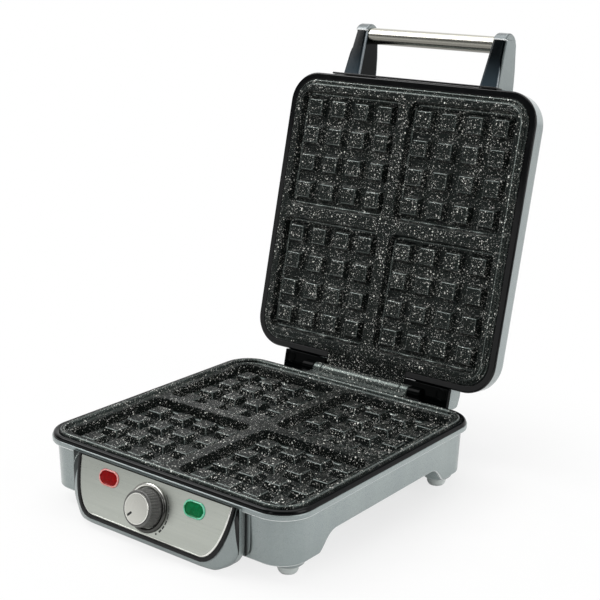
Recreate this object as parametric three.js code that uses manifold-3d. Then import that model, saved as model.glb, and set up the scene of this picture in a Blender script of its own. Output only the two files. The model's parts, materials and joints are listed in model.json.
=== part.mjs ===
// Four-slice waffle maker with its lid open: a base that carries the lower cooking plate, a hinged
// lid that carries the upper one, a bar handle, and a sloping control panel with a browning knob.
// Units are millimetres and +Z is up. Inside the base group z = 0 is the top edge of the silver
// housing. Lid pieces are drawn as if the lid were shut, and their group turns them open.

import * as THREE from 'three';
import { mergeVertices } from 'three/addons/utils/BufferGeometryUtils.js';
import Module from 'manifold-3d';

const wasm = await Module();
wasm.setup();

// ---------------------------------------------------------------- driving dimensions

const clearance = 0.3; // between pieces that seat in, on or around each other
const seam = 0.1; // between the rims of two casings
const bodyWidth = 280;
const bodyDepth = 283;
const bodyCorner = 30;
const standHeight = 60; // table to the top edge of the silver housing
const lidOpenAngle = 102.5;
const platesGap = 0.6; // between the two cooking faces when the lid is shut

const housing = {
  wall: 2.6, lipHeight: 4.6, lipOverhang: 5, legLength: 46, frontDrop: 44, draft: 1.6,
  archDrop: 31, legDepth: 47.5, legSweep: 26, doorMargin: 10.5, doorTop: -9,
};
const bezel = {
  height: 5.8, face: 6.8, setIn: 0.8, roundHeight: 3.2, roundRun: 5, skirtDepth: 8, skirtWall: 2, ledgeTop: 1,
};
const plate = {
  thickness: 3.2, web: 12.9, borderX: 5.85, borderY: 7.35, cavityDraft: 1.5, cavityCorner: 9,
  postsPerSide: 4, postMargin: 5.6, postTipHalf: 6.2, postBaseHalf: 10.4, bossRadius: 5,
};
const lowerPlate = { land: 1.2, cavityDepth: 11, postHeight: 6.4, beadHeight: 4, beadWidth: 4.6 };
const upperPlate = { padProud: 4.5, padMargin: 0.6, cavityDepth: 9.2, postHeight: 7 };
const heating = { tubeRadius: 3.3, pastBoss: 5.25, bend: 20, terminalX: 30, terminalSetIn: 31.5 };
const reflector = { thickness: 1, setInX: 20, setInY: 33.5, corner: 16 };
const screw = { shank: 2, head: 4, headHeight: 2.4, bite: 6 };
const hinge = { behind: 11.7, z: 3.43, pinRadius: 2.5, pinGrip: 11, barrelRadius: 6.2, barrelHalf: 46.5 };
const lug = { width: 9, gap: 0.5 };
const hingeArm = { width: 41, reach: 20.5, top: 29, wall: 2.6, linerFace: 4, linerTop: 9.2 };
const lidFrame = { lipHeight: 2.3, face: 6.8, skirtTop: 14, ledgeHeight: 2.2 };
const lidShell = { wall: 2.6, sideTop: 22, crown: 50 };
const handle = {
  gripRadius: 8.6, gripBore: 5, gripReach: 43.9, gripZ: 34.5, tipRadius: 12, skin: 3,
  innerFoot: 25, innerTip: 20.9, outerFoot: 4.7, outerTip: 8.4, frontFootZ: 16.6, backZ: 50.6,
};
const rail = { setIn: 46.5, proud: 2.2, top: 19 };
const panel = { tiltDegrees: 16.7, topProud: 0.2, topZ: -4, steel: 0.8, frameProud: 0.9 };
const faceOutline = { topSetIn: 8.5, bottomSetIn: 33.5, top: 0.5, bottom: -46.2, frameWidth: 3.4 };
const controlBox = {
  setIn: 47.5, bottomZ: -57.2, wall: 2.2, notchTop: 1.6, corner: 22, chin: 3, screwZ: -22.6,
};
const sideTrim = { width: 8, gap: 0.6, proud: 1.8, bottomZ: -42 };
const knob = { v: -23.3, faceRadius: 14.9, baseRadius: 18, lift: 1.6, height: 12.4 };
const knobCap = { radius: 13, thickness: 1.2, proud: 0.3 };
const dialRing = { inner: 18.3, outer: 20.7, height: 3.4 };
const thermostat = { width: 30, height: 24, depth: 14, bracketMargin: 4, bracket: 1.2, shaftRadius: 3 };
const lamp = { setIn: 44.7, v: -11.4, half: 11.3, radius: 6.9, proud: 1.5 };
const bulb = { half: 5.5, height: 6, length: 13 };
const foot = { setInX: 24.2, setInY: 30.7, radius: 8.2, height: 8.5, podRadius: 13, stem: 3, stemLength: 5 };
const bottomCover = {
  thickness: 2.2, recess: 1.5, frontGap: 16, screwSetIn: 91.5, bossRadius: 4.5, bossTop: -14,
};
const cordGland = { x: -60, z: -20, neck: 6.2, flange: 9, flangeDepth: 3, bore: 3.8 };
const terminalBlock = { half: 38, depth: 14, height: 9 };
const thermalFuse = { radius: 2, length: 14, y: 40 };

// Sizes that follow from the ones above.
const halfX = bodyWidth / 2;
const halfY = bodyDepth / 2;
const wallHalfX = halfX - housing.lipOverhang;
const wallHalfY = halfY - housing.lipOverhang;
const wallCorner = bodyCorner - housing.lipOverhang;
const upperLand = lowerPlate.land + platesGap;
const lidSeam = upperLand + upperPlate.padProud;
const shellFoot = lidSeam + lidFrame.lipHeight + seam;
const beadInset = bezel.face + clearance + lowerPlate.beadWidth;
const cavityHalfX = (halfX - beadInset - plate.borderX - plate.web / 2) / 2;
const cavityHalfY = (halfY - beadInset - plate.borderY - plate.web / 2) / 2;
const cavityX = plate.web / 2 + cavityHalfX;
const cavityY = plate.web / 2 + cavityHalfY;
const hingeY = halfY + hinge.behind;
const tongueHalf = hinge.barrelHalf + lug.gap + lug.width;
const armInner = tongueHalf + lug.gap;
const armOuter = armInner + hingeArm.width;
const armRear = halfY + hingeArm.reach;
const coverBottom = -housing.archDrop + bottomCover.recess;
const coverTop = coverBottom + bottomCover.thickness;
const tilt = THREE.MathUtils.degToRad(panel.tiltDegrees);
const panelY = -halfY - panel.topProud;
const controlHalf = halfX - controlBox.setIn;
const lampX = controlHalf - lamp.setIn;
const railHalf = halfX - rail.setIn;
const gripY = -halfY - handle.gripReach;
const tipY = gripY - handle.tipRadius;
const footX = halfX - foot.setInX;
const footY = halfY - foot.setInY;
const frontPlate = -panel.steel - clearance; // depth of the control box's face behind the steel face
const sides = [['left', -1], ['right', 1]];
const corners = [['front_left', -1, -1], ['front_right', 1, -1], ['rear_left', -1, 1], ['rear_right', 1, 1]];

// ---------------------------------------------------------------- materials

function finish(color, roughness, metalness) {
  return new THREE.MeshStandardMaterial({ color, roughness, metalness });
}

const silver = () => finish(0x9da3a5, 0.3, 0.5);
const gloss = () => finish(0x0b0d0f, 0.15, 0);
const coated = () => finish(0x1a1d1c, 0.45, 0.2);
const brushed = () => finish(0xb9b8b2, 0.35, 0.9);
const zinc = () => finish(0x9a9c9e, 0.4, 0.9);
const sheath = () => finish(0x54544f, 0.5, 0.8);
const rubber = () => finish(0x6f7676, 0.7, 0);
const dull = () => finish(0x2a2c2e, 0.6, 0);
const knobGrey = () => finish(0x5c5d60, 0.4, 0.2);
const redLens = () => finish(0xa00c0e, 0.2, 0);
const greenLens = () => finish(0x0a6b3a, 0.2, 0);

// ---------------------------------------------------------------- solids

// A closed three.js geometry becomes a manifold solid, so that pieces can be joined and cut.
function solid(geometry) {
  const bare = geometry.clone();
  bare.deleteAttribute('normal');
  bare.deleteAttribute('uv');
  const merged = mergeVertices(bare, 1e-5);
  return new wasm.Manifold(new wasm.Mesh({
    numProp: 3,
    vertProperties: new Float32Array(merged.attributes.position.array),
    triVerts: new Uint32Array(merged.index.array),
  }));
}

function geometryOf(shape) {
  const { vertProperties, triVerts } = shape.getMesh();
  const geometry = new THREE.BufferGeometry();
  geometry.setAttribute('position', new THREE.BufferAttribute(new Float32Array(vertProperties), 3));
  geometry.setIndex(new THREE.BufferAttribute(new Uint32Array(triVerts), 1));
  return geometry;
}

function piece(name, shape, material) {
  const geometry = geometryOf(shape);
  geometry.computeVertexNormals();
  const mesh = new THREE.Mesh(geometry, material);
  mesh.name = name;
  return mesh;
}

const join = (...shapes) => shapes.reduce((sum, shape) => sum.add(shape));
const cut = (shape, ...tools) => tools.reduce((left, tool) => left.subtract(tool), shape);
const common = (first, second) => first.intersect(second);

function box(x0, x1, y0, y1, z0, z1) {
  const geometry = new THREE.BoxGeometry(x1 - x0, y1 - y0, z1 - z0);
  return solid(geometry.translate((x0 + x1) / 2, (y0 + y1) / 2, (z0 + z1) / 2));
}

// A rod along Z, or a cone where the top radius differs.
function uprightRod(radius, x, y, z0, z1, topRadius = radius, segments = 12) {
  const geometry = new THREE.CylinderGeometry(topRadius, radius, z1 - z0, segments);
  return solid(geometry.rotateX(Math.PI / 2).translate(x, y, (z0 + z1) / 2));
}

function crossRod(radius, x0, x1, y, z, segments = 20) {
  const geometry = new THREE.CylinderGeometry(radius, radius, x1 - x0, segments);
  return solid(geometry.rotateZ(Math.PI / 2).translate((x0 + x1) / 2, y, z));
}

function lengthRod(radius, x, y0, y1, z, segments = 20) {
  const geometry = new THREE.CylinderGeometry(radius, radius, y1 - y0, segments);
  return solid(geometry.translate(x, (y0 + y1) / 2, z));
}

// Points of a rounded rectangle, anticlockwise.
function outline(hx, hy, radius, steps = 6) {
  const points = [];
  [[1, 1], [-1, 1], [-1, -1], [1, -1]].forEach(([sx, sy], quarter) => {
    for (let step = 0; step <= steps; step++) {
      const angle = (quarter + step / steps) * Math.PI / 2;
      const x = sx * (hx - radius) + radius * Math.cos(angle);
      const y = sy * (hy - radius) + radius * Math.sin(angle);
      points.push([x, y]);
    }
  });
  return points;
}

// A closed skin through convex outlines of equal length, given as [z, points] stations.
function loft(stations) {
  const levels = [...stations].sort((low, high) => low[0] - high[0]);
  const count = levels[0][1].length;
  const position = levels.flatMap(([z, points]) => points.flatMap(([x, y]) => [x, y, z]));
  const index = [];
  for (let level = 0; level + 1 < levels.length; level++) {
    for (let i = 0; i < count; i++) {
      const a = level * count + i;
      const b = level * count + (i + 1) % count;
      index.push(a, b, b + count, a, b + count, a + count);
    }
  }
  const last = (levels.length - 1) * count;
  for (let i = 1; i + 1 < count; i++) {
    index.push(0, i + 1, i, last, last + i, last + i + 1);
  }
  const geometry = new THREE.BufferGeometry();
  geometry.setAttribute('position', new THREE.Float32BufferAttribute(position, 3));
  geometry.setIndex(index);
  return solid(geometry);
}

// A rounded block between two heights; with a draft its half sizes shrink on the way to z1.
function slab(hx, hy, radius, z0, z1, draft = 0) {
  const far = outline(hx - draft, hy - draft, Math.max(radius - draft, 0.5));
  return loft([[z0, outline(hx, hy, radius)], [z1, far]]);
}

// The body's own outline, set in from its edge.
function bodySlab(inset, z0, z1) {
  return slab(halfX - inset, halfY - inset, bodyCorner - inset, z0, z1);
}

// An outline of [a, b] points carried along the third axis.
function prism(points, depth) {
  const shape = new THREE.Shape(points.map(([a, b]) => new THREE.Vector2(a, b)));
  return new THREE.ExtrudeGeometry(shape, { depth, bevelEnabled: false });
}

function planPrism(points, z0, z1) {
  return solid(prism(points, z1 - z0).translate(0, 0, z0));
}

function frontPrism(points, y0, y1) {
  return solid(prism(points, y1 - y0).rotateX(Math.PI / 2).translate(0, y1, 0));
}

function sidePrism(points, x0, x1) {
  const turn = new THREE.Matrix4().makeBasis(
    new THREE.Vector3(0, 1, 0),
    new THREE.Vector3(0, 0, 1),
    new THREE.Vector3(1, 0, 0),
  );
  return solid(prism(points, x1 - x0).applyMatrix4(turn).translate(x0, 0, 0));
}

// Points on a circle from one angle to another, in degrees.
function arc(cx, cy, radius, from, to, steps = 6) {
  return Array.from({ length: steps + 1 }, (_, step) => {
    const angle = THREE.MathUtils.degToRad(from + (to - from) * step / steps);
    return [cx + radius * Math.cos(angle), cy + radius * Math.sin(angle)];
  });
}

// A span of x on one side of the middle, smaller value first.
const reach = (side, near, far) => [Math.min(side * near, side * far), Math.max(side * near, side * far)];

const mirrored = (points) => points.concat(points.map(([a, b]) => [-a, b]).reverse());

// ---------------------------------------------------------------- base casings

// Half of the arch between the legs: a level crown that sweeps down to the foot of the leg.
function archHalf() {
  const steps = 8;
  const floorHalf = halfY - housing.legDepth;
  const crownHalf = floorHalf - housing.legSweep;
  const points = [];
  for (let step = 0; step <= steps; step++) {
    const share = step / steps;
    const y = THREE.MathUtils.lerp(crownHalf, floorHalf, share ** 0.6);
    const fall = (1 - Math.cos(Math.PI * share)) / 2;
    points.push([y, THREE.MathUtils.lerp(-housing.archDrop, -housing.legLength, fall)]);
  }
  return [...points, [floorHalf, -standHeight]];
}

const coverScrewX = wallHalfX - housing.wall - housing.draft - clearance - screw.head;
const coverScrewY = halfY - bottomCover.screwSetIn;

function coverRod([, sx, sy], radius, z0, z1) {
  return uprightRod(radius, sx * coverScrewX, sy * coverScrewY, z0, z1);
}

// A boss for a cover screw, with a rib that ties it to the housing wall.
function coverBoss(corner) {
  const [, sx, sy] = corner;
  const { bossRadius, bossTop } = bottomCover;
  const z0 = coverTop + clearance;
  const y = sy * coverScrewY;
  const across = reach(sx, coverScrewX, wallHalfX - housing.wall / 2);
  const rib = box(...across, y - bossRadius, y + bossRadius, z0, bossTop);
  const bore = coverRod(corner, screw.shank + clearance, coverTop, coverTop + screw.bite + 1);
  return cut(join(coverRod(corner, bossRadius, z0, bossTop), rib), bore);
}

function lowerHousing() {
  const legFoot = -housing.legLength;
  const lip = slab(halfX, halfY, bodyCorner, -housing.lipHeight, 0);
  const skirt = slab(wallHalfX, wallHalfY, wallCorner, -housing.lipHeight, legFoot, housing.draft);
  const hollow = slab(wallHalfX - housing.wall, wallHalfY - housing.wall, wallCorner - housing.wall,
    1, legFoot - 1, housing.draft);
  const arch = sidePrism(mirrored(archHalf()), -bodyWidth, bodyWidth);
  const frontHalf = wallHalfX - bodyCorner;
  const frontTrim = box(-frontHalf, frontHalf, -bodyDepth, 0, -standHeight, -housing.frontDrop);
  const doorHalf = controlHalf - housing.doorMargin;
  const doorway = box(-doorHalf, doorHalf, -bodyDepth, -wallHalfY / 2, -standHeight, housing.doorTop);
  const notchHalf = controlHalf + clearance;
  const notch = box(-notchHalf, notchHalf, -bodyDepth, -wallHalfY, -bodyDepth, -controlBox.notchTop);
  const glandHole = lengthRod(cordGland.neck + clearance, cordGland.x, 0, bodyDepth, cordGland.z);
  const screwHoles = controlScrewX.map((x) => (
    lengthRod(screw.shank + clearance, x, -bodyDepth, -wallHalfY / 2, controlBox.screwZ)));
  const shell = cut(join(lip, skirt), hollow, arch, frontTrim, doorway, notch, glandHole, ...screwHoles);
  return join(shell, ...corners.map(coverBoss));
}

// A black rim with a rounded outer edge, a ledge for the plate and a skirt inside the housing.
function lowerBezel() {
  const { height, setIn, roundHeight, roundRun } = bezel;
  const stations = [[seam, setIn]];
  for (const degrees of [0, 30, 60, 90]) {
    const angle = THREE.MathUtils.degToRad(degrees);
    const z = height - roundHeight * (1 - Math.sin(angle));
    stations.push([z, setIn + roundRun * (1 - Math.cos(angle))]);
  }
  const rim = loft(stations.map(([z, inset]) => (
    [z, outline(halfX - inset, halfY - inset, bodyCorner - inset)])));
  const skirtInset = housing.lipOverhang + housing.wall + clearance;
  const skirt = bodySlab(skirtInset, -bezel.skirtDepth, bezel.ledgeTop);
  const recess = bodySlab(bezel.face, bezel.ledgeTop, bodyDepth);
  const well = bodySlab(skirtInset + bezel.skirtWall, -bodyDepth, bodyDepth);
  const tongueGap = tongueHalf + clearance;
  const notch = box(-tongueGap, tongueGap, wallHalfY - 2 * bezel.face, bodyDepth, seam, bodyDepth);
  return cut(join(rim, skirt), recess, well, notch);
}

function bottomCoverPlate() {
  const margin = housing.wall + housing.draft + clearance;
  const sheet = slab(wallHalfX - margin, wallHalfY - margin, wallCorner - margin, coverBottom, coverTop);
  const podFoot = -standHeight + foot.height + clearance;
  const pods = corners.map(([, sx, sy]) => (
    uprightRod(foot.podRadius, sx * footX, sy * footY, podFoot, coverTop, foot.podRadius, 20)));
  const sockets = corners.map(([, sx, sy]) => (
    uprightRod(foot.stem + clearance, sx * footX, sy * footY, podFoot - 1, podFoot + foot.stemLength + 1)));
  const holes = corners.map((corner) => (
    coverRod(corner, screw.shank + clearance, coverBottom - 1, coverTop + 1)));
  const gapHalf = controlHalf + clearance;
  const gapRear = -wallHalfY + bottomCover.frontGap;
  const controlGap = box(-gapHalf, gapHalf, -bodyDepth, gapRear, -standHeight, standHeight);
  return cut(join(sheet, ...pods), controlGap, ...sockets, ...holes);
}

function footPad([, sx, sy]) {
  const top = -standHeight + foot.height;
  const pad = uprightRod(foot.radius - 1, sx * footX, sy * footY, -standHeight, -standHeight + 1.2,
    foot.radius, 20);
  const drum = uprightRod(foot.radius, sx * footX, sy * footY, -standHeight + 1.2, top, foot.radius, 20);
  const stem = uprightRod(foot.stem, sx * footX, sy * footY, top - 1, top + foot.stemLength);
  return join(pad, drum, stem);
}

function coverScrew(corner) {
  const headTop = coverBottom - clearance;
  return join(
    coverRod(corner, screw.head, headTop - screw.headHeight, headTop),
    coverRod(corner, screw.shank, headTop - 1, coverTop + screw.bite),
  );
}

function mainsGland() {
  const wallFace = wallHalfY + clearance;
  const { x, z } = cordGland;
  const neck = lengthRod(cordGland.neck, x, wallFace - 2 * housing.wall, wallFace + 1, z);
  const flange = lengthRod(cordGland.flange, x, wallFace, wallFace + cordGland.flangeDepth, z);
  return cut(join(neck, flange), lengthRod(cordGland.bore, x, 0, bodyDepth, z));
}

function terminals() {
  const { half, depth, height } = terminalBlock;
  const front = terminalY + clearance;
  const floor = coverTop + clearance;
  return box(-half, half, front, front + depth, floor, floor + height);
}

// ---------------------------------------------------------------- cooking plates

const cavityCentres = corners.map(([, sx, sy]) => [sx * cavityX, sy * cavityY]);
const bossCentres = [[-cavityX, 0], [cavityX, 0], [0, -cavityY], [0, cavityY]];

function shifted(points, [x, y]) {
  return points.map(([px, py]) => [px + x, py + y]);
}

// Cast bowls with a grid of posts. `into` is -1 where the bowls sink down and 1 where they rise.
function castBowls(land, into, { cavityDepth, postHeight }, bossDepth) {
  const level = (depth) => land + into * depth;
  const { thickness, cavityCorner, cavityDraft, postsPerSide } = plate;
  const wallLine = (grow) => outline(cavityHalfX + grow, cavityHalfY + grow, cavityCorner + grow);
  const bowl = (grow, near, far, draft, centre) => loft([
    [level(near), shifted(wallLine(grow), centre)],
    [level(far), shifted(wallLine(grow - draft), centre)],
  ]);
  const floor = cavityDepth + thickness;
  const skins = cavityCentres.map((centre) => bowl(thickness, thickness / 2, floor, cavityDraft, centre));
  const hollows = cavityCentres.flatMap((centre) => [
    bowl(0, 0, cavityDepth, cavityDraft, centre),
    bowl(0, -1, 0, 0, centre),
  ]);
  const square = (half, centre) => (
    shifted([[half, half], [-half, half], [-half, -half], [half, -half]], centre));
  const posts = [];
  const edge = plate.postMargin + plate.postBaseHalf;
  const pitchX = 2 * (cavityHalfX - edge) / (postsPerSide - 1);
  const pitchY = 2 * (cavityHalfY - edge) / (postsPerSide - 1);
  for (const [cx, cy] of cavityCentres) {
    for (let column = 0; column < postsPerSide; column++) {
      for (let row = 0; row < postsPerSide; row++) {
        const x = cx + (column - (postsPerSide - 1) / 2) * pitchX;
        const y = cy + (row - (postsPerSide - 1) / 2) * pitchY;
        posts.push(loft([
          [level(floor - 1), square(plate.postBaseHalf, [x, y])],
          [level(cavityDepth), square(plate.postBaseHalf, [x, y])],
          [level(cavityDepth - postHeight), square(plate.postTipHalf, [x, y])],
        ]));
      }
    }
  }
  const rodBetween = (radius, [x, y], near, far) => (
    uprightRod(radius, x, y, Math.min(level(near), level(far)), Math.max(level(near), level(far))));
  const bosses = bossCentres.map((centre) => rodBetween(plate.bossRadius, centre, thickness / 2, bossDepth));
  const holes = bossCentres.map((centre) => (
    rodBetween(screw.shank + clearance, centre, bossDepth - screw.bite - 1, bossDepth + 1)));
  return { skins, hollows, posts, bosses, holes };
}

function assembleCasting(sheet, parts) {
  const body = join(sheet, ...parts.skins, ...parts.bosses);
  return join(cut(body, ...parts.hollows, ...parts.holes), ...parts.posts);
}

// Depth from a plate's cooking face to its heating tube, and to the reflector behind the tube.
function stack(cavityDepth) {
  const back = cavityDepth + plate.thickness;
  const tube = back + clearance + heating.tubeRadius;
  const sheet = tube + heating.tubeRadius + clearance;
  return { back, tube, sheet };
}

function lowerCookingPlate() {
  const { land, beadHeight, cavityDepth } = lowerPlate;
  const ledgeInset = housing.lipOverhang + housing.wall + bezel.skirtWall + 2 * clearance;
  const flangeFoot = bezel.ledgeTop + clearance;
  const deck = bodySlab(ledgeInset, land - plate.thickness, flangeFoot + 1);
  const flange = bodySlab(bezel.face + clearance, flangeFoot, land + beadHeight);
  const tray = bodySlab(beadInset, land, bodyDepth);
  const tongueFoot = clearance + seam;
  const tongueTop = tongueFoot + plate.thickness;
  const lugInner = hinge.barrelHalf + lug.gap;
  const tongueRear = hingeY - hinge.barrelRadius - lug.gap;
  const tongueFront = halfY - beadInset + 1;
  const tongue = box(-tongueHalf, tongueHalf, tongueFront, tongueRear, tongueFoot, tongueTop);
  const lugs = sides.flatMap(([, side]) => {
    const across = reach(side, lugInner, tongueHalf);
    return [
      box(...across, tongueFront, hingeY, tongueFoot, tongueTop),
      crossRod(hinge.barrelRadius, ...across, hingeY, hinge.z),
    ];
  });
  const bore = crossRod(hinge.pinRadius + clearance, -bodyWidth, bodyWidth, hingeY, hinge.z);
  const sheet = join(cut(join(deck, flange), tray), tongue, ...lugs);
  const parts = castBowls(land, -1, lowerPlate, stack(cavityDepth).sheet - clearance);
  return cut(assembleCasting(sheet, parts), bore);
}

function upperCookingPlate() {
  const { padProud, padMargin, cavityDepth } = upperPlate;
  const padInset = beadInset + padMargin;
  const flangeInset = lidFrame.face + clearance;
  const flangeBack = lidSeam + plate.thickness;
  const pad = cut(
    bodySlab(padInset, upperLand, flangeBack),
    bodySlab(padInset + plate.thickness, upperLand + plate.thickness, bodyDepth),
  );
  const flange = cut(bodySlab(flangeInset, lidSeam, flangeBack), bodySlab(padInset + 1, 0, bodyDepth));
  const half = hinge.barrelHalf;
  const tongueRear = hingeY - hinge.barrelRadius / 2;
  const tongue = box(-half, half, halfY - padInset - 1, tongueRear, lidSeam, flangeBack);
  const barrel = crossRod(hinge.barrelRadius, -half, half, hingeY, hinge.z);
  const bore = crossRod(hinge.pinRadius + clearance, -bodyWidth, bodyWidth, hingeY, hinge.z);
  const parts = castBowls(upperLand, 1, upperPlate, stack(cavityDepth).sheet - clearance);
  return cut(assembleCasting(join(pad, flange, tongue, barrel), parts), bore);
}

const terminalY = halfY - heating.terminalSetIn;

// A bent heating tube: a loop round the plate that opens towards the hinge.
function heatingTube(z) {
  const { bend, pastBoss, terminalX, tubeRadius } = heating;
  const spanX = cavityX + plate.bossRadius + pastBoss + tubeRadius;
  const spanY = cavityY + plate.bossRadius + pastBoss + tubeRadius;
  const loop = [[-spanX, spanY], [-spanX, -spanY], [spanX, -spanY], [spanX, spanY]];
  const turns = [[-terminalX, spanY], ...loop, [terminalX, spanY]];
  const path = new THREE.CurvePath();
  let from = new THREE.Vector3(-terminalX, terminalY, z);
  turns.forEach(([x, y], i) => {
    const corner = new THREE.Vector3(x, y, z);
    const [nextX, nextY] = turns[i + 1] ?? [terminalX, terminalY];
    const onward = new THREE.Vector3(nextX, nextY, z).sub(corner).normalize().multiplyScalar(bend);
    const arrive = corner.clone().add(from.clone().sub(corner).normalize().multiplyScalar(bend));
    const leave = corner.clone().add(onward);
    path.add(new THREE.LineCurve3(from, arrive));
    path.add(new THREE.QuadraticBezierCurve3(arrive, corner, leave));
    from = leave;
  });
  path.add(new THREE.LineCurve3(from, new THREE.Vector3(terminalX, terminalY, z)));
  const section = new THREE.Shape().absarc(0, 0, tubeRadius, 0, 2 * Math.PI);
  return solid(new THREE.ExtrudeGeometry(section, { extrudePath: path, steps: 52, curveSegments: 4 }));
}

function reflectorSheet(z) {
  const { setInX, setInY, thickness, corner } = reflector;
  const sheet = slab(halfX - setInX, halfY - setInY, corner, z, z + thickness);
  const holes = bossCentres.map(([x, y]) => (
    uprightRod(screw.shank + clearance, x, y, z - 1, z + thickness + 1)));
  return cut(sheet, ...holes);
}

// A screw whose head bears on a sheet at z and whose shank runs towards `into`.
function plateScrew([x, y], sheetFace, into, length) {
  const seat = sheetFace - into * clearance;
  const ends = [seat - into * screw.headHeight, seat, seat - into, seat + into * length];
  return join(
    uprightRod(screw.head, x, y, Math.min(ends[0], ends[1]), Math.max(ends[0], ends[1])),
    uprightRod(screw.shank, x, y, Math.min(ends[2], ends[3]), Math.max(ends[2], ends[3])),
  );
}

// ---------------------------------------------------------------- control panel

// The panel's own frame: x across, v up the slope, w out of the steel face.
const panelPlace = new THREE.Matrix4()
  .makeTranslation(0, panelY, panel.topZ)
  .multiply(new THREE.Matrix4().makeRotationX(Math.PI / 2 - tilt));
const onPanel = (shape) => solid(geometryOf(shape).applyMatrix4(panelPlace));
const panelSide = (v, w) => [
  panelY + v * Math.sin(tilt) - w * Math.cos(tilt),
  panel.topZ + v * Math.cos(tilt) + w * Math.sin(tilt),
];
const controlScrewX = [-1, 1].map((side) => side * (controlHalf - controlBox.wall - screw.head));
const thermostatBack = frontPlate - controlBox.wall - 2 * clearance - thermostat.bracket - thermostat.depth;

// The faceplate's outline, wide at the top with sides that curl in to a shorter foot.
function faceShape(grow) {
  const { topSetIn, bottomSetIn, top, bottom, frameWidth } = faceOutline;
  const topHalf = controlHalf - topSetIn;
  const bottomHalf = controlHalf - bottomSetIn;
  const share = grow / frameWidth;
  const upper = top + share;
  const lower = bottom - grow;
  const curl = new THREE.CubicBezierCurve(
    new THREE.Vector2(topHalf + grow, upper),
    new THREE.Vector2(topHalf + grow - 2, lower * 0.5),
    new THREE.Vector2(topHalf + grow - 9.3, lower),
    new THREE.Vector2(bottomHalf + share, lower),
  );
  return mirrored(curl.getPoints(12).map((point) => [point.x, point.y]));
}

const lampOutline = (x, grow) => shifted(
  outline(lamp.half + grow, lamp.radius + grow, lamp.radius + grow - 0.1, 4), [x, lamp.v]);

// The box behind the panel: a sloping front, a rounded chin and an open back.
function controlShape(inset, back) {
  const bottom = controlBox.bottomZ + inset;
  const face = frontPlate - inset;
  const [footY, footZ] = panelSide((bottom + 2 * controlBox.chin - panel.topZ) / Math.cos(tilt), face);
  const top = -controlBox.notchTop - clearance - inset;
  const [topY] = panelSide((top - panel.topZ - face * Math.sin(tilt)) / Math.cos(tilt), face);
  const profile = [
    [topY, top],
    [footY, footZ],
    [footY + controlBox.chin * 0.35, bottom + controlBox.chin * 0.6],
    [footY + controlBox.chin * 1.2, bottom],
    [back, bottom],
    [back, top],
  ];
  const half = controlHalf - inset;
  const radius = controlBox.corner - inset;
  const rightSide = [[half, top + 1], ...arc(half - radius, bottom + radius, radius, 0, -90)];
  return common(sidePrism(profile, -bodyWidth, bodyWidth), frontPrism(mirrored(rightSide), -bodyDepth, back));
}

function controlCover() {
  const back = -wallHalfY - clearance;
  const outer = controlShape(0, back);
  const inner = controlShape(controlBox.wall, back + 5);
  const { screwZ } = controlBox;
  const bosses = controlScrewX.map((x) => {
    const half = screw.head;
    const block = box(x - half, x + half, back - 12, back, screwZ - half, screwZ + half);
    const bore = lengthRod(screw.shank + clearance, x, back - screw.bite - 1, back + 1, screwZ);
    return cut(common(block, outer), bore);
  });
  const shaftHole = uprightRod(thermostat.shaftRadius + clearance, 0, knob.v, -20, 5);
  const bulbHoles = sides.map(([, side]) => box(
    side * lampX - bulb.half - clearance, side * lampX + bulb.half + clearance,
    lamp.v - bulb.height / 2 - clearance, lamp.v + bulb.height / 2 + clearance, -20, 5));
  const shell = cut(outer, inner, onPanel(shaftHole), ...bulbHoles.map(onPanel));
  return join(shell, ...bosses);
}

function controlScrew(x) {
  const back = -wallHalfY - clearance;
  const wallInside = -wallHalfY + housing.wall + housing.draft + clearance;
  return join(
    lengthRod(screw.head, x, wallInside, wallInside + screw.headHeight, controlBox.screwZ),
    lengthRod(screw.shank, x, back - screw.bite, wallInside + 1, controlBox.screwZ),
  );
}

function controlFrame() {
  return cut(
    planPrism(faceShape(faceOutline.frameWidth), -panel.steel, panel.frameProud),
    planPrism(faceShape(clearance), -5, 5),
  );
}

function faceplate() {
  const holes = sides.map(([, side]) => planPrism(lampOutline(side * lampX, clearance), -5, 5));
  const shaftHole = uprightRod(thermostat.shaftRadius + clearance, 0, knob.v, -5, 5);
  return cut(planPrism(faceShape(0), -panel.steel, 0), shaftHole, ...holes);
}

function lens(side) {
  const shoulder = lamp.proud / 2;
  return loft([
    [-panel.steel, lampOutline(side * lampX, 0)],
    [shoulder, lampOutline(side * lampX, 0)],
    [lamp.proud, lampOutline(side * lampX, -1.2)],
  ]);
}

function lampBulb(side) {
  const front = -panel.steel - clearance;
  return box(side * lampX - bulb.half, side * lampX + bulb.half,
    lamp.v - bulb.height / 2, lamp.v + bulb.height / 2, front - bulb.length, front);
}

function thermostatBracket() {
  const front = frontPlate - controlBox.wall - clearance;
  const hx = thermostat.width / 2 + thermostat.bracketMargin;
  const sheet = box(-hx, hx, knob.v - thermostat.height / 2, knob.v + thermostat.height / 2,
    front - thermostat.bracket, front);
  return cut(sheet, uprightRod(thermostat.shaftRadius + clearance, 0, knob.v, -50, 50));
}

function thermostatBody() {
  const hx = thermostat.width / 2;
  const hv = thermostat.height / 2 - 1;
  const block = box(-hx, hx, knob.v - hv, knob.v + hv, thermostatBack, thermostatBack + thermostat.depth);
  return cut(block, uprightRod(thermostat.shaftRadius + clearance, 0, knob.v, thermostatBack + 4, 50));
}

function thermostatShaft() {
  const top = knob.lift + knob.height - knobCap.thickness - 2;
  return uprightRod(thermostat.shaftRadius, 0, knob.v, thermostatBack + 4 + clearance, top);
}

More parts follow.
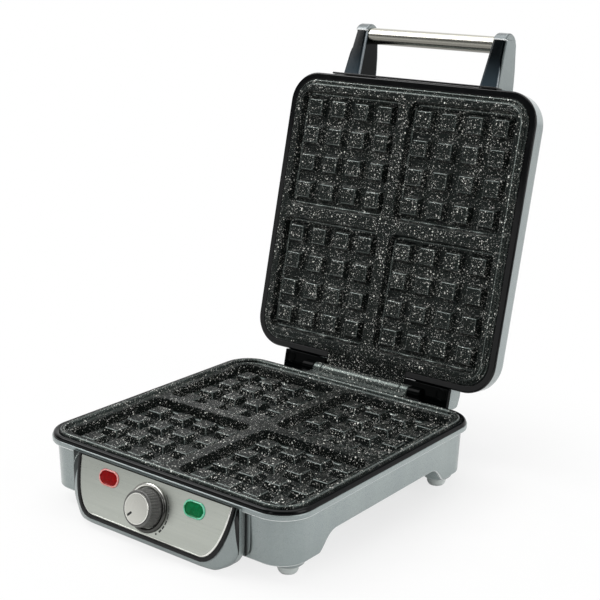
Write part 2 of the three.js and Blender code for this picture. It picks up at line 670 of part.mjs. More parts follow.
function knobBody() {
  const top = knob.lift + knob.height;
  const recess = top - knobCap.thickness + knobCap.proud;
  const grip = uprightRod(knob.baseRadius, 0, knob.v, knob.lift, top, knob.faceRadius, 36);
  const bore = uprightRod(thermostat.shaftRadius + clearance, 0, knob.v, 0, recess - 1);
  const capSeat = knobCap.radius + clearance;
  return cut(grip, bore, uprightRod(capSeat, 0, knob.v, recess, top + 1, capSeat, 36));
}

function knobCapDisc() {
  const back = knob.lift + knob.height - knobCap.thickness + knobCap.proud + clearance;
  return uprightRod(knobCap.radius, 0, knob.v, back, back + knobCap.thickness, knobCap.radius - 0.3, 36);
}

function dialBezel() {
  return cut(
    uprightRod(dialRing.outer, 0, knob.v, seam, dialRing.height, dialRing.outer - 0.6, 36),
    uprightRod(dialRing.inner, 0, knob.v, -1, 5, dialRing.inner, 36),
  );
}

// The dark fluted strip in the angle between the control box and the front wall.
function sideTrimStrip(side) {
  const x0 = controlHalf + sideTrim.gap;
  const radius = sideTrim.width / 2;
  const right = [
    [x0, -housing.lipHeight - clearance],
    ...arc(x0 + radius, sideTrim.bottomZ + radius, radius, 180, 360),
    [x0 + sideTrim.width, -housing.lipHeight - clearance],
  ];
  const back = -wallHalfY - clearance;
  return frontPrism(right.map(([x, z]) => [side * x, z]), back - sideTrim.proud, back);
}

// ---------------------------------------------------------------- lid

// The lid's sides, shoulder and crown: shares of the rise, with how far each stands in.
const shoulder = [
  [0, 0.6], [0.12, 1.6], [0.23, 4.2], [0.39, 9.5], [0.61, 16.5], [0.79, 24], [0.91, 34], [0.98, 50], [1, 70],
];

function lidSkin(inset, lift, foot) {
  const { sideTop, crown } = lidShell;
  const rise = crown - sideTop;
  const levels = shoulder.map(([share, run]) => [sideTop + (rise + lift) * share, run + inset]);
  const stations = [[foot, inset], ...levels];
  return loft(stations.map(([z, run]) => [z, outline(halfX - run, halfY - run, bodyCorner - inset)]));
}

// The ears at the back of the lid, seen from the side.
function earProfile(inset) {
  const rear = armRear - inset;
  const top = hingeArm.top - inset;
  const foot = hingeArm.linerTop + clearance;
  return [
    [halfY - 8, foot],
    [rear - 0.8, foot],
    [rear, foot + 10],
    [rear - 3, top - 4],
    [rear - 9.5, top - 0.6],
    [rear - 16, top],
    [halfY - 8, top - 1],
  ];
}

function lidCasing() {
  const wall = lidShell.wall;
  const outer = lidSkin(0, 0, shellFoot);
  const inner = lidSkin(wall, -wall, shellFoot - 1);
  const ears = sides.map(([, side]) => sidePrism(earProfile(0), ...reach(side, armInner, armOuter)));
  const wireways = sides.map(([, side]) => {
    const across = reach(side, armInner + hingeArm.wall, armOuter - hingeArm.wall);
    const mouthRear = armRear - 1 - hingeArm.wall;
    return join(
      sidePrism(earProfile(hingeArm.wall), ...across),
      box(...across, halfY - 10, mouthRear, shellFoot - 1, hingeArm.linerTop + 2),
    );
  });
  const tongueGap = hinge.barrelHalf + clearance;
  const notchTop = lidSeam + plate.thickness + clearance;
  const notch = box(-tongueGap, tongueGap, wallHalfY - 5, bodyDepth, 0, notchTop);
  const screwHoles = armScrewPlaces.map(([x, y]) => (
    uprightRod(screw.shank + clearance, x, y, lidShell.sideTop, standHeight)));
  return cut(join(outer, ...ears), inner, ...wireways, notch, ...screwHoles);
}

function lidRing() {
  const lipTop = lidSeam + lidFrame.lipHeight;
  const skirtInset = lidShell.wall + shoulder[0][1] + clearance;
  const ledgeFoot = lidSeam + plate.thickness + clearance;
  const ledgeTop = ledgeFoot + lidFrame.ledgeHeight;
  const body = join(bodySlab(0, lidSeam, lipTop), bodySlab(skirtInset, lidSeam, lidFrame.skirtTop));
  const recess = bodySlab(lidFrame.face, 0, ledgeFoot);
  const well = bodySlab(lidFrame.face + bezel.skirtWall + 1, 0, ledgeTop);
  const loftWell = bodySlab(lidFrame.face, ledgeTop, bodyDepth);
  const tongueGap = hinge.barrelHalf + clearance;
  const notch = box(-tongueGap, tongueGap, wallHalfY - 10, bodyDepth, 0, ledgeFoot);
  return cut(body, recess, well, loftWell, notch);
}

function hingeLiner(side) {
  const { linerFace, linerTop } = hingeArm;
  const front = halfY + clearance;
  const rear = armRear - 0.8;
  const block = box(...reach(side, armInner, armOuter), front, rear, linerFace, linerTop);
  const pinEnd = armInner + hinge.pinGrip + clearance;
  const boss = crossRod(hinge.barrelRadius, ...reach(side, armInner, pinEnd + 2), hingeY, hinge.z);
  const ceiling = box(-bodyWidth, bodyWidth, 0, bodyDepth, linerTop, bodyDepth);
  const bore = crossRod(hinge.pinRadius + clearance, ...reach(side, 0, pinEnd), hingeY, hinge.z);
  return cut(join(block, boss), ceiling, bore);
}

function hingePin(side) {
  const across = reach(side, hinge.barrelHalf - hinge.pinGrip, armInner + hinge.pinGrip);
  return crossRod(hinge.pinRadius, ...across, hingeY, hinge.z, 16);
}

// ---------------------------------------------------------------- handle

const armInnerFoot = railHalf - handle.innerFoot;
const armInnerTip = railHalf - handle.innerTip;
const armOuterFoot = railHalf - handle.outerFoot;
const armOuterTip = railHalf - handle.outerTip;
const armMiddle = (armInnerFoot + armOuterFoot) / 2;
const armScrewPlaces = [[-armMiddle, -halfY + 13.5], [armMiddle, -halfY + 13.5]];

// An arm seen from the side: flat front, rounded tip, and a back that runs on to the lid's crown.
function armProfile() {
  const { frontFootZ, backZ, gripZ, tipRadius } = handle;
  return [
    [-halfY + 30, backZ - 1],
    [-halfY, backZ],
    [gripY + 20, backZ - 0.8],
    ...arc(gripY, gripZ + 0.5, tipRadius, 105, 245, 8),
    [-halfY, frontFootZ],
    [-halfY + 30, frontFootZ],
  ];
}

// The arm's two flanks in plan. `skin` moves the outer flank in; `spill` moves the inner flank out.
function armPlan(side, skin, spill = 0) {
  const points = [
    [armInnerFoot - spill, 0],
    [armInnerFoot - spill, -halfY],
    [armInnerTip - spill, tipY - 5],
    [armOuterTip - skin, tipY - 5],
    [armOuterFoot - skin, -halfY],
    [armOuterFoot - skin, 0],
  ].map(([x, y]) => [side * x, y]);
  return planPrism(points, -bodyDepth, bodyDepth);
}

function armBlank(side, skin) {
  const railGap = box(-bodyWidth, bodyWidth, -halfY - rail.proud - clearance, 0, 0, rail.top + clearance);
  const body = common(sidePrism(armProfile(), -bodyWidth, bodyWidth), armPlan(side, skin));
  return cut(body, lidSkin(-clearance, clearance, shellFoot - 5), railGap);
}

function handleArm(side, [x, y]) {
  const capGap = box(-bodyWidth, bodyWidth, -bodyDepth, tipY + handle.skin, -bodyDepth, bodyDepth);
  const core = cut(armBlank(side, handle.skin), capGap);
  const { gripBore, gripZ } = handle;
  const spigot = crossRod(gripBore - clearance, ...reach(side, gripHalf - 10, armInnerTip + 4), gripY, gripZ);
  const hole = uprightRod(screw.shank + clearance, x, y, 0, armScrewTop + 1);
  return cut(join(core, spigot), hole);
}

function handleArmCover(side) {
  const skin = handle.skin - clearance;
  const tip = box(-bodyWidth, bodyWidth, -2 * bodyDepth, tipY + skin, -2 * bodyDepth, 2 * bodyDepth);
  return cut(armBlank(side, 0), cut(armPlan(side, skin, handle.gripRadius), tip));
}

const gripHalf = (armInnerFoot + armInnerTip) / 2;
const armScrewHead = 26;
const armScrewTop = 43;

function handleGrip() {
  return cut(
    crossRod(handle.gripRadius, -gripHalf, gripHalf, gripY, handle.gripZ, 32),
    crossRod(handle.gripBore, -bodyWidth, bodyWidth, gripY, handle.gripZ, 24),
  );
}

function handleRail() {
  return box(-railHalf, railHalf, -halfY - rail.proud, -halfY - clearance, lidSeam, rail.top);
}

function armScrew([x, y]) {
  return join(
    uprightRod(screw.head, x, y, armScrewHead, armScrewHead + screw.headHeight),
    uprightRod(screw.shank, x, y, armScrewHead + 1, armScrewTop),
  );
}

// ---------------------------------------------------------------- assembly

const model = new THREE.Group();
const base = new THREE.Group();
const control = new THREE.Group();
const lid = new THREE.Group();
const lidParts = new THREE.Group();
base.position.z = standHeight;
control.position.set(0, panelY, panel.topZ);
control.rotation.x = Math.PI / 2 - tilt;
lid.position.set(0, hingeY, hinge.z);
lid.rotation.x = -THREE.MathUtils.degToRad(lidOpenAngle);
lidParts.position.set(0, -hingeY, -hinge.z);
model.add(base);
base.add(control, lid);
lid.add(lidParts);

const lowerStack = stack(lowerPlate.cavityDepth);
const upperStack = stack(upperPlate.cavityDepth);
const lowerSheet = lowerPlate.land - lowerStack.sheet - reflector.thickness;
const upperSheet = upperLand + upperStack.sheet;
const screwLength = reflector.thickness + 2 * clearance + screw.bite;

base.add(piece('lower_housing', lowerHousing(), silver()));
base.add(piece('lower_bezel', lowerBezel(), gloss()));
base.add(piece('lower_plate', lowerCookingPlate(), coated()));
base.add(piece('lower_element', heatingTube(lowerPlate.land - lowerStack.tube), sheath()));
base.add(piece('lower_reflector', reflectorSheet(lowerSheet), zinc()));
base.add(piece('bottom_cover', bottomCoverPlate(), dull()));
base.add(piece('terminal_block', terminals(), dull()));
base.add(piece('cord_gland', mainsGland(), dull()));
bossCentres.forEach((centre, i) => {
  base.add(piece(`lower_plate_screw_${i + 1}`, plateScrew(centre, lowerSheet, 1, screwLength), zinc()));
});
corners.forEach((corner) => {
  base.add(piece(`foot_${corner[0]}`, footPad(corner), rubber()));
  base.add(piece(`cover_screw_${corner[0]}`, coverScrew(corner), zinc()));
});

base.add(piece('control_cover', controlCover(), silver()));
sides.forEach(([name, side], i) => {
  base.add(piece(`control_screw_${name}`, controlScrew(controlScrewX[i]), zinc()));
  base.add(piece(`side_trim_${name}`, sideTrimStrip(side), gloss()));
});
control.add(piece('control_frame', controlFrame(), gloss()));
control.add(piece('faceplate', faceplate(), brushed()));
control.add(piece('red_lens', lens(-1), redLens()));
control.add(piece('green_lens', lens(1), greenLens()));
control.add(piece('red_lamp', lampBulb(-1), dull()));
control.add(piece('green_lamp', lampBulb(1), dull()));
control.add(piece('thermostat_bracket', thermostatBracket(), zinc()));
control.add(piece('thermostat_body', thermostatBody(), zinc()));
control.add(piece('thermostat_shaft', thermostatShaft(), zinc()));
control.add(piece('knob', knobBody(), knobGrey()));
control.add(piece('knob_cap', knobCapDisc(), brushed()));
control.add(piece('dial_ring', dialBezel(), brushed()));

lidParts.add(piece('lid_shell', lidCasing(), silver()));
lidParts.add(piece('lid_frame', lidRing(), gloss()));
lidParts.add(piece('upper_plate', upperCookingPlate(), coated()));
lidParts.add(piece('upper_element', heatingTube(upperLand + upperStack.tube), sheath()));
lidParts.add(piece('upper_reflector', reflectorSheet(upperSheet), zinc()));
lidParts.add(piece('handle_rail', handleRail(), gloss()));
lidParts.add(piece('handle_grip', handleGrip(), brushed()));
const fuseZ = upperSheet + reflector.thickness + clearance + thermalFuse.radius;
const fuseHalf = thermalFuse.length / 2;
lidParts.add(piece('thermal_fuse',
  crossRod(thermalFuse.radius, -fuseHalf, fuseHalf, thermalFuse.y, fuseZ, 12), zinc()));
bossCentres.forEach((centre, i) => {
  const sheetBack = upperSheet + reflector.thickness;
  lidParts.add(piece(`upper_plate_screw_${i + 1}`, plateScrew(centre, sheetBack, -1, screwLength), zinc()));
});
sides.forEach(([name, side], i) => {
  lidParts.add(piece(`hinge_liner_${name}`, hingeLiner(side), gloss()));
  lidParts.add(piece(`hinge_pin_${name}`, hingePin(side), zinc()));
  lidParts.add(piece(`handle_arm_${name}`, handleArm(side, armScrewPlaces[i]), gloss()));
  lidParts.add(piece(`handle_arm_cover_${name}`, handleArmCover(side), silver()));
  lidParts.add(piece(`arm_screw_${name}`, armScrew(armScrewPlaces[i]), zinc()));
});

// The origin is the middle of the whole model's box, on the table.
const extent = new THREE.Box3().setFromObject(model, true);
const middle = extent.getCenter(new THREE.Vector3());
base.position.x -= middle.x;
base.position.y -= middle.y;
base.position.z -= extent.min.z;

export default model;
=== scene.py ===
"""The looks of a four-slice waffle maker with its lid open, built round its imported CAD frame.

Piece shapes are written in millimetres in the CAD's own frames: RIM, whose z = 0 is the top edge of the
silver housing; LID, the same frame with the lid's pieces drawn shut; and PANEL, with x across, y up the
slope and z out of the steel face. publish() carries a finished piece into the row frame, in metres.
"""

import json
import math
from math import cos, pi, radians, sin, tan

import bmesh
import bpy
from mathutils import Matrix, Vector


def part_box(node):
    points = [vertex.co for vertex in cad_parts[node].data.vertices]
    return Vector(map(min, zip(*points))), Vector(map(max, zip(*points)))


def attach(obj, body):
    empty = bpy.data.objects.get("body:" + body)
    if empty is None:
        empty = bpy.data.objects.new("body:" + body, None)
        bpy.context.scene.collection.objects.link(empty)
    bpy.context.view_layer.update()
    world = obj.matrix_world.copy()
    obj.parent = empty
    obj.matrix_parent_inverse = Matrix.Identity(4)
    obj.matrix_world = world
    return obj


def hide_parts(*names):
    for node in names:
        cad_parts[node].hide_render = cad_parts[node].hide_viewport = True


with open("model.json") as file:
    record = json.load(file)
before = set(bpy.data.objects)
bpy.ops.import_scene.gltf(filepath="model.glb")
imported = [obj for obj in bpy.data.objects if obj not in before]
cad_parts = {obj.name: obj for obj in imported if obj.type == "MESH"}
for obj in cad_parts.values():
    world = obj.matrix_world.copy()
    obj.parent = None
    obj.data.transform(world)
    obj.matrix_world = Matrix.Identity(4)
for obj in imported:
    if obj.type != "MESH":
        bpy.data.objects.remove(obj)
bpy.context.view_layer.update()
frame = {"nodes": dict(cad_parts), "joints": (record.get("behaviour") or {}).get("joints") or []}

# ---------------------------------------------------------------- frames and sizes, in millimetres

MM = 0.001
housing_low, housing_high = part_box("lower_housing")
HALF_X = (housing_high.x - housing_low.x) / 2 / MM
HALF_Y = (housing_high.y - housing_low.y) / 2 / MM
CORNER = 30
STAND_HEIGHT = housing_high.z / MM
CLEARANCE = 0.3
SEAM = 0.1

rim_origin = Vector((0, (housing_high.y + housing_low.y) / 2, housing_high.z))
RIM = Matrix.Translation(rim_origin) @ Matrix.Scale(MM, 4)

lid_joint = next(joint for joint in frame["joints"] if joint["name"] == "lid_hinge")
knob_joint = next(joint for joint in frame["joints"] if joint["name"] == "browning_knob")
hinge_point = Vector(lid_joint["pos_m"])
lid_open = radians(max(lid_joint["range_deg"]))
LID = (
    Matrix.Translation(hinge_point) @ Matrix.Rotation(-lid_open, 4, "X")
    @ Matrix.Translation(-hinge_point) @ RIM
)
HINGE_Y = (hinge_point.y - rim_origin.y) / MM
HINGE_Z = (hinge_point.z - rim_origin.z) / MM

panel_out = -Vector(knob_joint["axis"])
panel_tilt = math.asin(panel_out.z)
KNOB_V, KNOB_LIFT, KNOB_HEIGHT, KNOB_BASE, KNOB_FACE = -23.3, 1.6, 12.4, 16.4, 14.9
DISC_RADIUS = 13
RING_INNER, RING_OUTER, RING_HEIGHT = 16.8, 20.7, 3.4
LAMP_X, LAMP_V, LAMP_HALF, LAMP_RADIUS = 47.8, -11.4, 11.3, 6.9
PANEL_Y = -HALF_Y - 0.2
PANEL_Z = -4
PANEL = RIM @ Matrix.Translation((0, PANEL_Y, PANEL_Z)) @ Matrix.Rotation(pi / 2 - panel_tilt, 4, "X")

LIP_HEIGHT, LIP_OVERHANG, HOUSING_WALL, DRAFT = 4.6, 5, 2.6, 1.6
LEG_LENGTH, LEG_DEPTH, LEG_SWEEP, ARCH_DROP = 46, 47.5, 26, 31
WALL_X, WALL_Y, WALL_CORNER = HALF_X - LIP_OVERHANG, HALF_Y - LIP_OVERHANG, CORNER - LIP_OVERHANG
CONTROL_HALF = HALF_X - 47.5
BEZEL_FACE = 6.8
LOWER_LAND, UPPER_LAND = 1.2, 1.8
LID_SEAM = 6.3
LID_LIP_TOP = 8.6
BEAD_INSET = 11.7
TONGUE_HALF, BARREL_HALF, BARREL_RADIUS, PIN_BORE = 56, 46.5, 6.2, 2.8
EAR_INNER, EAR_OUTER, EAR_REAR = 56.5, 97.5, HALF_Y + 20.5
RAIL_HALF, RAIL_DEPTH, RAIL_TOP = HALF_X - 46.5, 2.2, 19
GRIP_Y, GRIP_Z, GRIP_RADIUS = -HALF_Y - 43.9, 34.5, 8.1
FOOT_X, FOOT_Y = HALF_X - 24.2, HALF_Y - 30.7
CORD_X, CORD_Z = -60, -20
SHAFT_BORE = 3.3
SIDES = ((-1, "left"), (1, "right"))
REACH = 200  # carries a cutter past the object's sides
SHARP_ANGLE = 38  # degrees from which an edge is shaded as sharp


# ---------------------------------------------------------------- solids

def lerp(a, b, share):
    return a + (b - a) * share


def store(mesh):
    """Turns a bmesh into an object with its faces pointing out."""
    bmesh.ops.recalc_face_normals(mesh, faces=mesh.faces)
    data = bpy.data.meshes.new("piece")
    mesh.to_mesh(data)
    mesh.free()
    piece = bpy.data.objects.new("piece", data)
    bpy.context.scene.collection.objects.link(piece)
    return piece


def loft(rings, closed=False):
    """A skin through rings of points. Its ends are capped, or closed joins the last ring to the first."""
    mesh = bmesh.new()
    rows = [[mesh.verts.new(point) for point in ring] for ring in rings]
    count = len(rows[0])
    pairs = list(zip(rows, rows[1:]))
    if closed:
        pairs.append((rows[-1], rows[0]))
    for low, high in pairs:
        for i in range(count):
            j = (i + 1) % count
            mesh.faces.new((low[i], low[j], high[j], high[i]))
    if not closed:
        mesh.faces.new(rows[0][::-1])
        mesh.faces.new(rows[-1])
    return store(mesh)


PLACES = {
    "x": lambda a, b, depth: (depth, a, b),
    "y": lambda a, b, depth: (a, depth, b),
    "z": lambda a, b, depth: (a, b, depth),
}


def prism(points, low, high, axis="z"):
    """An outline of (a, b) points carried along an axis."""
    place = PLACES[axis]
    return loft([[place(a, b, depth) for a, b in points] for depth in (low, high)])


def box(x0, x1, y0, y1, z0, z1):
    return prism([(x0, y0), (x1, y0), (x1, y1), (x0, y1)], z0, z1)


def turned(profile, centre=(0, 0), axis="z", segments=48, closed=False):
    """A body of revolution from (radius, depth) points."""
    place = PLACES[axis]
    turns = [2 * pi * step / segments for step in range(segments)]
    a0, b0 = centre
    return loft([
        [place(a0 + radius * cos(t), b0 + radius * sin(t), depth) for t in turns]
        for radius, depth in profile
    ], closed)


def rod(radius, centre, low, high, axis="z", segments=48):
    return turned([(radius, low), (radius, high)], centre, axis, segments)


def hinge_rod(radius, low, high, segments=48):
    """A rod from x = low to x = high along the hinge's axis."""
    return rod(radius, (HINGE_Y, HINGE_Z), low, high, "x", segments)


def span(side, near, far):
    """Two distances from the middle as a low and a high x on one side."""
    return sorted((side * near, side * far))


def arc(a, b, radius, start, end, steps=8):
    turns = [radians(lerp(start, end, step / steps)) for step in range(steps + 1)]
    return [(a + radius * cos(t), b + radius * sin(t)) for t in turns]


def outline(half_x, half_y, radius, steps=14):
    """A rounded rectangle, anticlockwise from the lower end of its first corner."""
    points = []
    for quarter, (sx, sy) in enumerate(((1, 1), (-1, 1), (-1, -1), (1, -1))):
        start = 90 * quarter
        points += arc(sx * (half_x - radius), sy * (half_y - radius), radius, start, start + 90, steps)
    return points


def rounded(points):
    """A closed outline of (a, b, radius) points with its corners rounded."""
    steps = 4
    result = []
    for i, (a, b, radius) in enumerate(points):
        here = Vector((a, b))
        if radius == 0:
            result.append((a, b))
            continue
        before = (Vector(points[i - 1][:2]) - here).normalized()
        after = (Vector(points[(i + 1) % len(points)][:2]) - here).normalized()
        half = before.angle(after) / 2
        centre = here + (before + after).normalized() * (radius / sin(half))
        first = here + before * (radius / tan(half)) - centre
        last = here + after * (radius / tan(half)) - centre
        for step in range(steps + 1):
            result.append(tuple(centre + first.lerp(last, step / steps).normalized() * radius))
    return result


def mirrored(points):
    return list(points) + [(-a, b) for a, b in reversed(points)]


def level_ring(inset, z, corner=None):
    """The body's outline, set in from its edge."""
    radius = CORNER - inset if corner is None else corner
    return [(x, y, z) for x, y in outline(HALF_X - inset, HALF_Y - inset, max(radius, 0.5))]


def rim_sweep(profile):
    """A closed profile of (inset, z) points carried round the body's outline."""
    return loft([level_ring(inset, z) for inset, z in profile], closed=True)


def bake(piece):
    """Applies the piece's modifiers to its mesh."""
    graph = bpy.context.evaluated_depsgraph_get()
    made = bpy.data.meshes.new_from_object(piece.evaluated_get(graph))
    piece.modifiers.clear()
    old = piece.data
    piece.data = made
    bpy.data.meshes.remove(old)
    return piece


def boolean(piece, operation, tools):
    for tool in tools:
        change = piece.modifiers.new("boolean", "BOOLEAN")
        change.operation = operation
        change.solver = "MANIFOLD"
        change.object = tool
    bake(piece)
    for tool in tools:
        bpy.data.meshes.remove(tool.data)
    return piece


def cut(piece, *tools):
    return boolean(piece, "DIFFERENCE", tools)


def join(piece, *tools):
    return boolean(piece, "UNION", tools)


def common(piece, *tools):
    return boolean(piece, "INTERSECT", tools)


def tidy(piece):
    """Merges doubled points and flat faces that a cut has split."""
    mesh = bmesh.new()
    mesh.from_mesh(piece.data)
    bmesh.ops.remove_doubles(mesh, verts=mesh.verts, dist=0.004)
    bmesh.ops.dissolve_limit(mesh, angle_limit=radians(0.4), verts=mesh.verts, edges=mesh.edges)
    mesh.to_mesh(piece.data)
    mesh.free()
    return piece


def bevel(piece, width, segments=3, angle=32, edge_look=-1):
    """Rounds the edges sharper than angle. edge_look is the number of the material for the new faces."""
    tidy(piece)
    change = piece.modifiers.new("bevel", "BEVEL")
    change.width = width
    change.segments = segments
    change.limit_method = "ANGLE"
    change.angle_limit = radians(angle)
    change.use_clamp_overlap = False
    change.miter_outer = "MITER_ARC"
    change.material = edge_look
    return bake(piece)


def shade(piece):
    """Smooth shading that keeps flat faces flat."""
    for polygon in piece.data.polygons:
        polygon.use_smooth = True
    piece.data.set_sharp_from_angle(angle=radians(SHARP_ANGLE))
    change = piece.modifiers.new("normals", "WEIGHTED_NORMAL")
    change.keep_sharp = True
    return bake(piece)


def add_looks(piece, *looks):
    for look in looks:
        piece.data.materials.append(look)


def publish(piece, name, place, body, looks, nodes, choose=None):
    """Places a finished piece, dresses it and lets it stand for its CAD nodes. choose(centre) picks the
    number of a face's look from the face's centre, in millimetres."""
    faces = piece.data.polygons
    picks = [face.material_index for face in faces]
    if choose:
        chosen = [choose(face.center) for face in faces]
        picks = [old if pick is None else pick for old, pick in zip(picks, chosen)]
    piece.data.materials.clear()
    add_looks(piece, *looks)
    faces.foreach_set("material_index", picks)
    shade(piece)
    piece.data.transform(place)
    piece.name = name
    piece.data.name = name
    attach(piece, body)
    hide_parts(*nodes)
    return piece


# ---------------------------------------------------------------- materials

def linear(code):
    """A colour as written in sRGB hex, in Blender's linear numbers."""
    parts = [int(code[i:i + 2], 16) / 255 for i in (0, 2, 4)]
    return tuple(p / 12.92 if p <= 0.04045 else ((p + 0.055) / 1.055) ** 2.4 for p in parts) + (1,)


def add_node(tree, kind, inputs, **settings):
    """A shader node whose inputs are numbers, colours or the outputs of other nodes."""
    made = tree.nodes.new("ShaderNode" + kind)
    for key, value in settings.items():
        setattr(made, key, value)
    for key, value in inputs.items():
        if isinstance(value, bpy.types.NodeSocket):
            tree.links.new(value, made.inputs[key])
        else:
            made.inputs[key].default_value = value
    return made


class Look:
    """A material's node tree, with object coordinates that are metres in the row frame."""

    def __init__(self, name, **shader):
        self.material = bpy.data.materials.new(name)
        self.material.use_nodes = True
        self.tree = self.material.node_tree
        self.shader = self.tree.nodes["Principled BSDF"]
        for key, value in shader.items():
            self.shader.inputs[key.replace("_", " ")].default_value = value
        self.where = self.tree.nodes.new("ShaderNodeTexCoord").outputs["Object"]

    def node(self, kind, inputs, **settings):
        return add_node(self.tree, kind, inputs, **settings)

    def math(self, operation, a, b=0.0, clamp=False):
        return self.node("Math", {0: a, 1: b}, operation=operation, use_clamp=clamp).outputs[0]

    def placed(self, place, scale=(1, 1, 1)):
        """Coordinates in millimetres in one of the CAD's frames, stretched by scale."""
        inverse = place.inverted()
        moved = self.node("Mapping", {
            "Vector": self.where, "Location": inverse.to_translation(),
            "Rotation": inverse.to_quaternion().to_euler(), "Scale": (inverse.to_scale()[0],) * 3,
        })
        return self.node("Mapping", {"Vector": moved.outputs[0], "Scale": scale}).outputs[0]

    def distance(self, place, axis):
        """How far along one axis of a CAD frame a point is, in millimetres."""
        return self.node("SeparateXYZ", {"Vector": self.placed(place)}).outputs[axis]

    def noise(self, size, detail=2, where=None):
        """Noise whose features are about size millimetres across."""
        scale = 1000 / size if where is None else 1 / size
        inputs = {"Vector": where or self.where, "Scale": scale, "Detail": detail, "Roughness": 0.5}
        return self.node("TexNoise", inputs).outputs["Fac"]

    def cells(self, size):
        """Voronoi cells about size millimetres across."""
        return self.node("TexVoronoi", {"Vector": self.where, "Scale": 1000 / size, "Randomness": 1.0})

    def ramp(self, value, low, high, low_at=0.3, high_at=0.7):
        """Maps value from low_at..high_at to low..high. Noise keeps mostly to 0.3..0.7."""
        return self.node("MapRange", {
            "Value": value, "From Min": low_at, "From Max": high_at, "To Min": low, "To Max": high,
        }).outputs["Result"]

    def blend(self, share, a, b, kind="MIX"):
        inputs = {0: share, 6: a, 7: b}
        return self.node("Mix", inputs, data_type="RGBA", blend_type=kind).outputs[2]

    def tones(self, share, low, high, spread=0.15, full=1):
        """Two colours mixed by a noise, in its middle range of 0.5 plus or minus spread."""
        return self.blend(self.ramp(share, 0, full, 0.5 - spread, 0.5 + spread), linear(low), linear(high))

    def dimmed(self, tone, share):
        """A tone multiplied by a share from 0 to 1."""
        grey = self.node("CombineColor", {"Red": share, "Green": share, "Blue": share}).outputs[0]
        return self.blend(1.0, tone, grey, "MULTIPLY")

    def bump(self, height, depth, normal=None):
        """A bump whose full height is depth millimetres."""
        inputs = {"Height": height, "Distance": depth * MM, "Strength": 1.0}
        if normal:
            inputs["Normal"] = normal
        return self.node("Bump", inputs).outputs[0]

    def set(self, **sockets):
        for key, value in sockets.items():
            self.tree.links.new(value, self.shader.inputs[key.replace("_", " ")])

    def finish(self, tone, roughness, normal):
        self.set(Base_Color=tone, Roughness=roughness, Normal=normal)
        return self.material


def silver_look(name, dark, light, cloud, front=1.0):
    """Silver lacquer over moulded plastic: fine flakes under a clear gloss, with a faint orange peel.
    front is the tone's share at the base's front wall: painted shade that darkens the casing there."""
    look = Look(name, Metallic=0.6, Coat_Weight=0.7, Coat_Roughness=0.07)
    flakes = look.noise(0.22, 1)
    clouds = look.noise(26, 2, look.placed(RIM, (1, 1, 0.08)))
    tone = look.tones(flakes, dark, light, 0.2)
    tone = look.blend(look.ramp(clouds, 0, 0.4, 0.35, 0.65), tone, linear(cloud))
    # Painted shade: the tone darkens towards the base's front wall.
    if front < 1:
        tone = look.dimmed(tone, look.ramp(look.distance(RIM, "Y"), front, 1.0, -HALF_Y + 1, -HALF_Y + 38))
    peel = look.bump(look.noise(1.8, 1), 0.012)
    return look.finish(tone, look.ramp(flakes, 0.26, 0.38), look.bump(flakes, 0.004, normal=peel))


def gloss_black_look(name="gloss_black", low="030405", high="070809", level=0.28, foot=None):
    """Polished black plastic with a trace of handling haze and dust. foot is the lighter colour that the
    handle's arms fade to where they leave the lid: a painted reflection."""
    look = Look(name, Specular_IOR_Level=level)
    haze = look.noise(18, 3)
    specks = look.math("LESS_THAN", look.cells(3.5).outputs["Distance"], 0.035)
    tone = look.blend(look.ramp(haze, 0, 1, 0.4, 0.7), linear(low), linear(high))
    tone = look.blend(look.math("MULTIPLY", specks, 0.12), tone, linear("8a8d8f"))
    # Painted reflection: the arms lighten towards the foot colour near the lid.
    if foot:
        share = look.ramp(look.distance(LID, "Y"), 0, 1, GRIP_Y + 8, GRIP_Y + 52)
        tone = look.blend(look.math("POWER", share, 1.6), tone, linear(foot))
    return look.finish(tone, look.ramp(haze, 0.09, 0.19, 0.35, 0.7), look.bump(look.noise(2.4, 1), 0.006))


# The specks' cell size, smallest and largest radius in millimetres, and how rare they are.
SPECKS = ((3.2, 0.42, 0.85, 0.27), (2.0, 0.28, 0.52, 0.13), (1.1, 0.16, 0.3, 0.04))


def coating_look(name, low, high, level, roughness):
    """Non-stick coating: near black with a fine grain and pale mineral specks of mixed sizes."""
    look = Look(name, Specular_IOR_Level=level, Specular_Tint=(0.86, 1.0, 0.94, 1.0))
    shares = look.noise(16, 2)
    specks = None
    for cell, small, large, rare in SPECKS:
        cells = look.cells(cell)
        parts = look.node("SeparateColor", {"Color": cells.outputs["Color"]})
        cutoff = look.ramp(shares, rare + 0.25, rare - 0.2, 0.35, 0.65)
        luck = look.math("SUBTRACT", parts.outputs["Red"], cutoff)
        radius = look.ramp(luck, small / cell, large / cell, 0, 1 - rare)
        radius = look.math("MULTIPLY", radius, look.math("GREATER_THAN", luck, 0.0))
        inside = look.math("SUBTRACT", radius, cells.outputs["Distance"])
        mask = look.math("MULTIPLY", inside, 9 * cell, clamp=True)
        mask = look.math("MULTIPLY", mask, look.ramp(parts.outputs["Green"], 0.3, 1.0, 0, 1))
        specks = mask if specks is None else look.math("MAXIMUM", specks, mask)
    grain = look.noise(0.5, 2)
    body = look.tones(look.noise(30, 3), low, high)
    tone = look.blend(specks, body, linear("fbfbf4"))
    height = look.math("ADD", look.math("MULTIPLY", grain, 0.7), look.math("MULTIPLY", specks, 0.5))
    return look.finish(tone, look.ramp(grain, roughness - 0.06, roughness + 0.08), look.bump(height, 0.03))


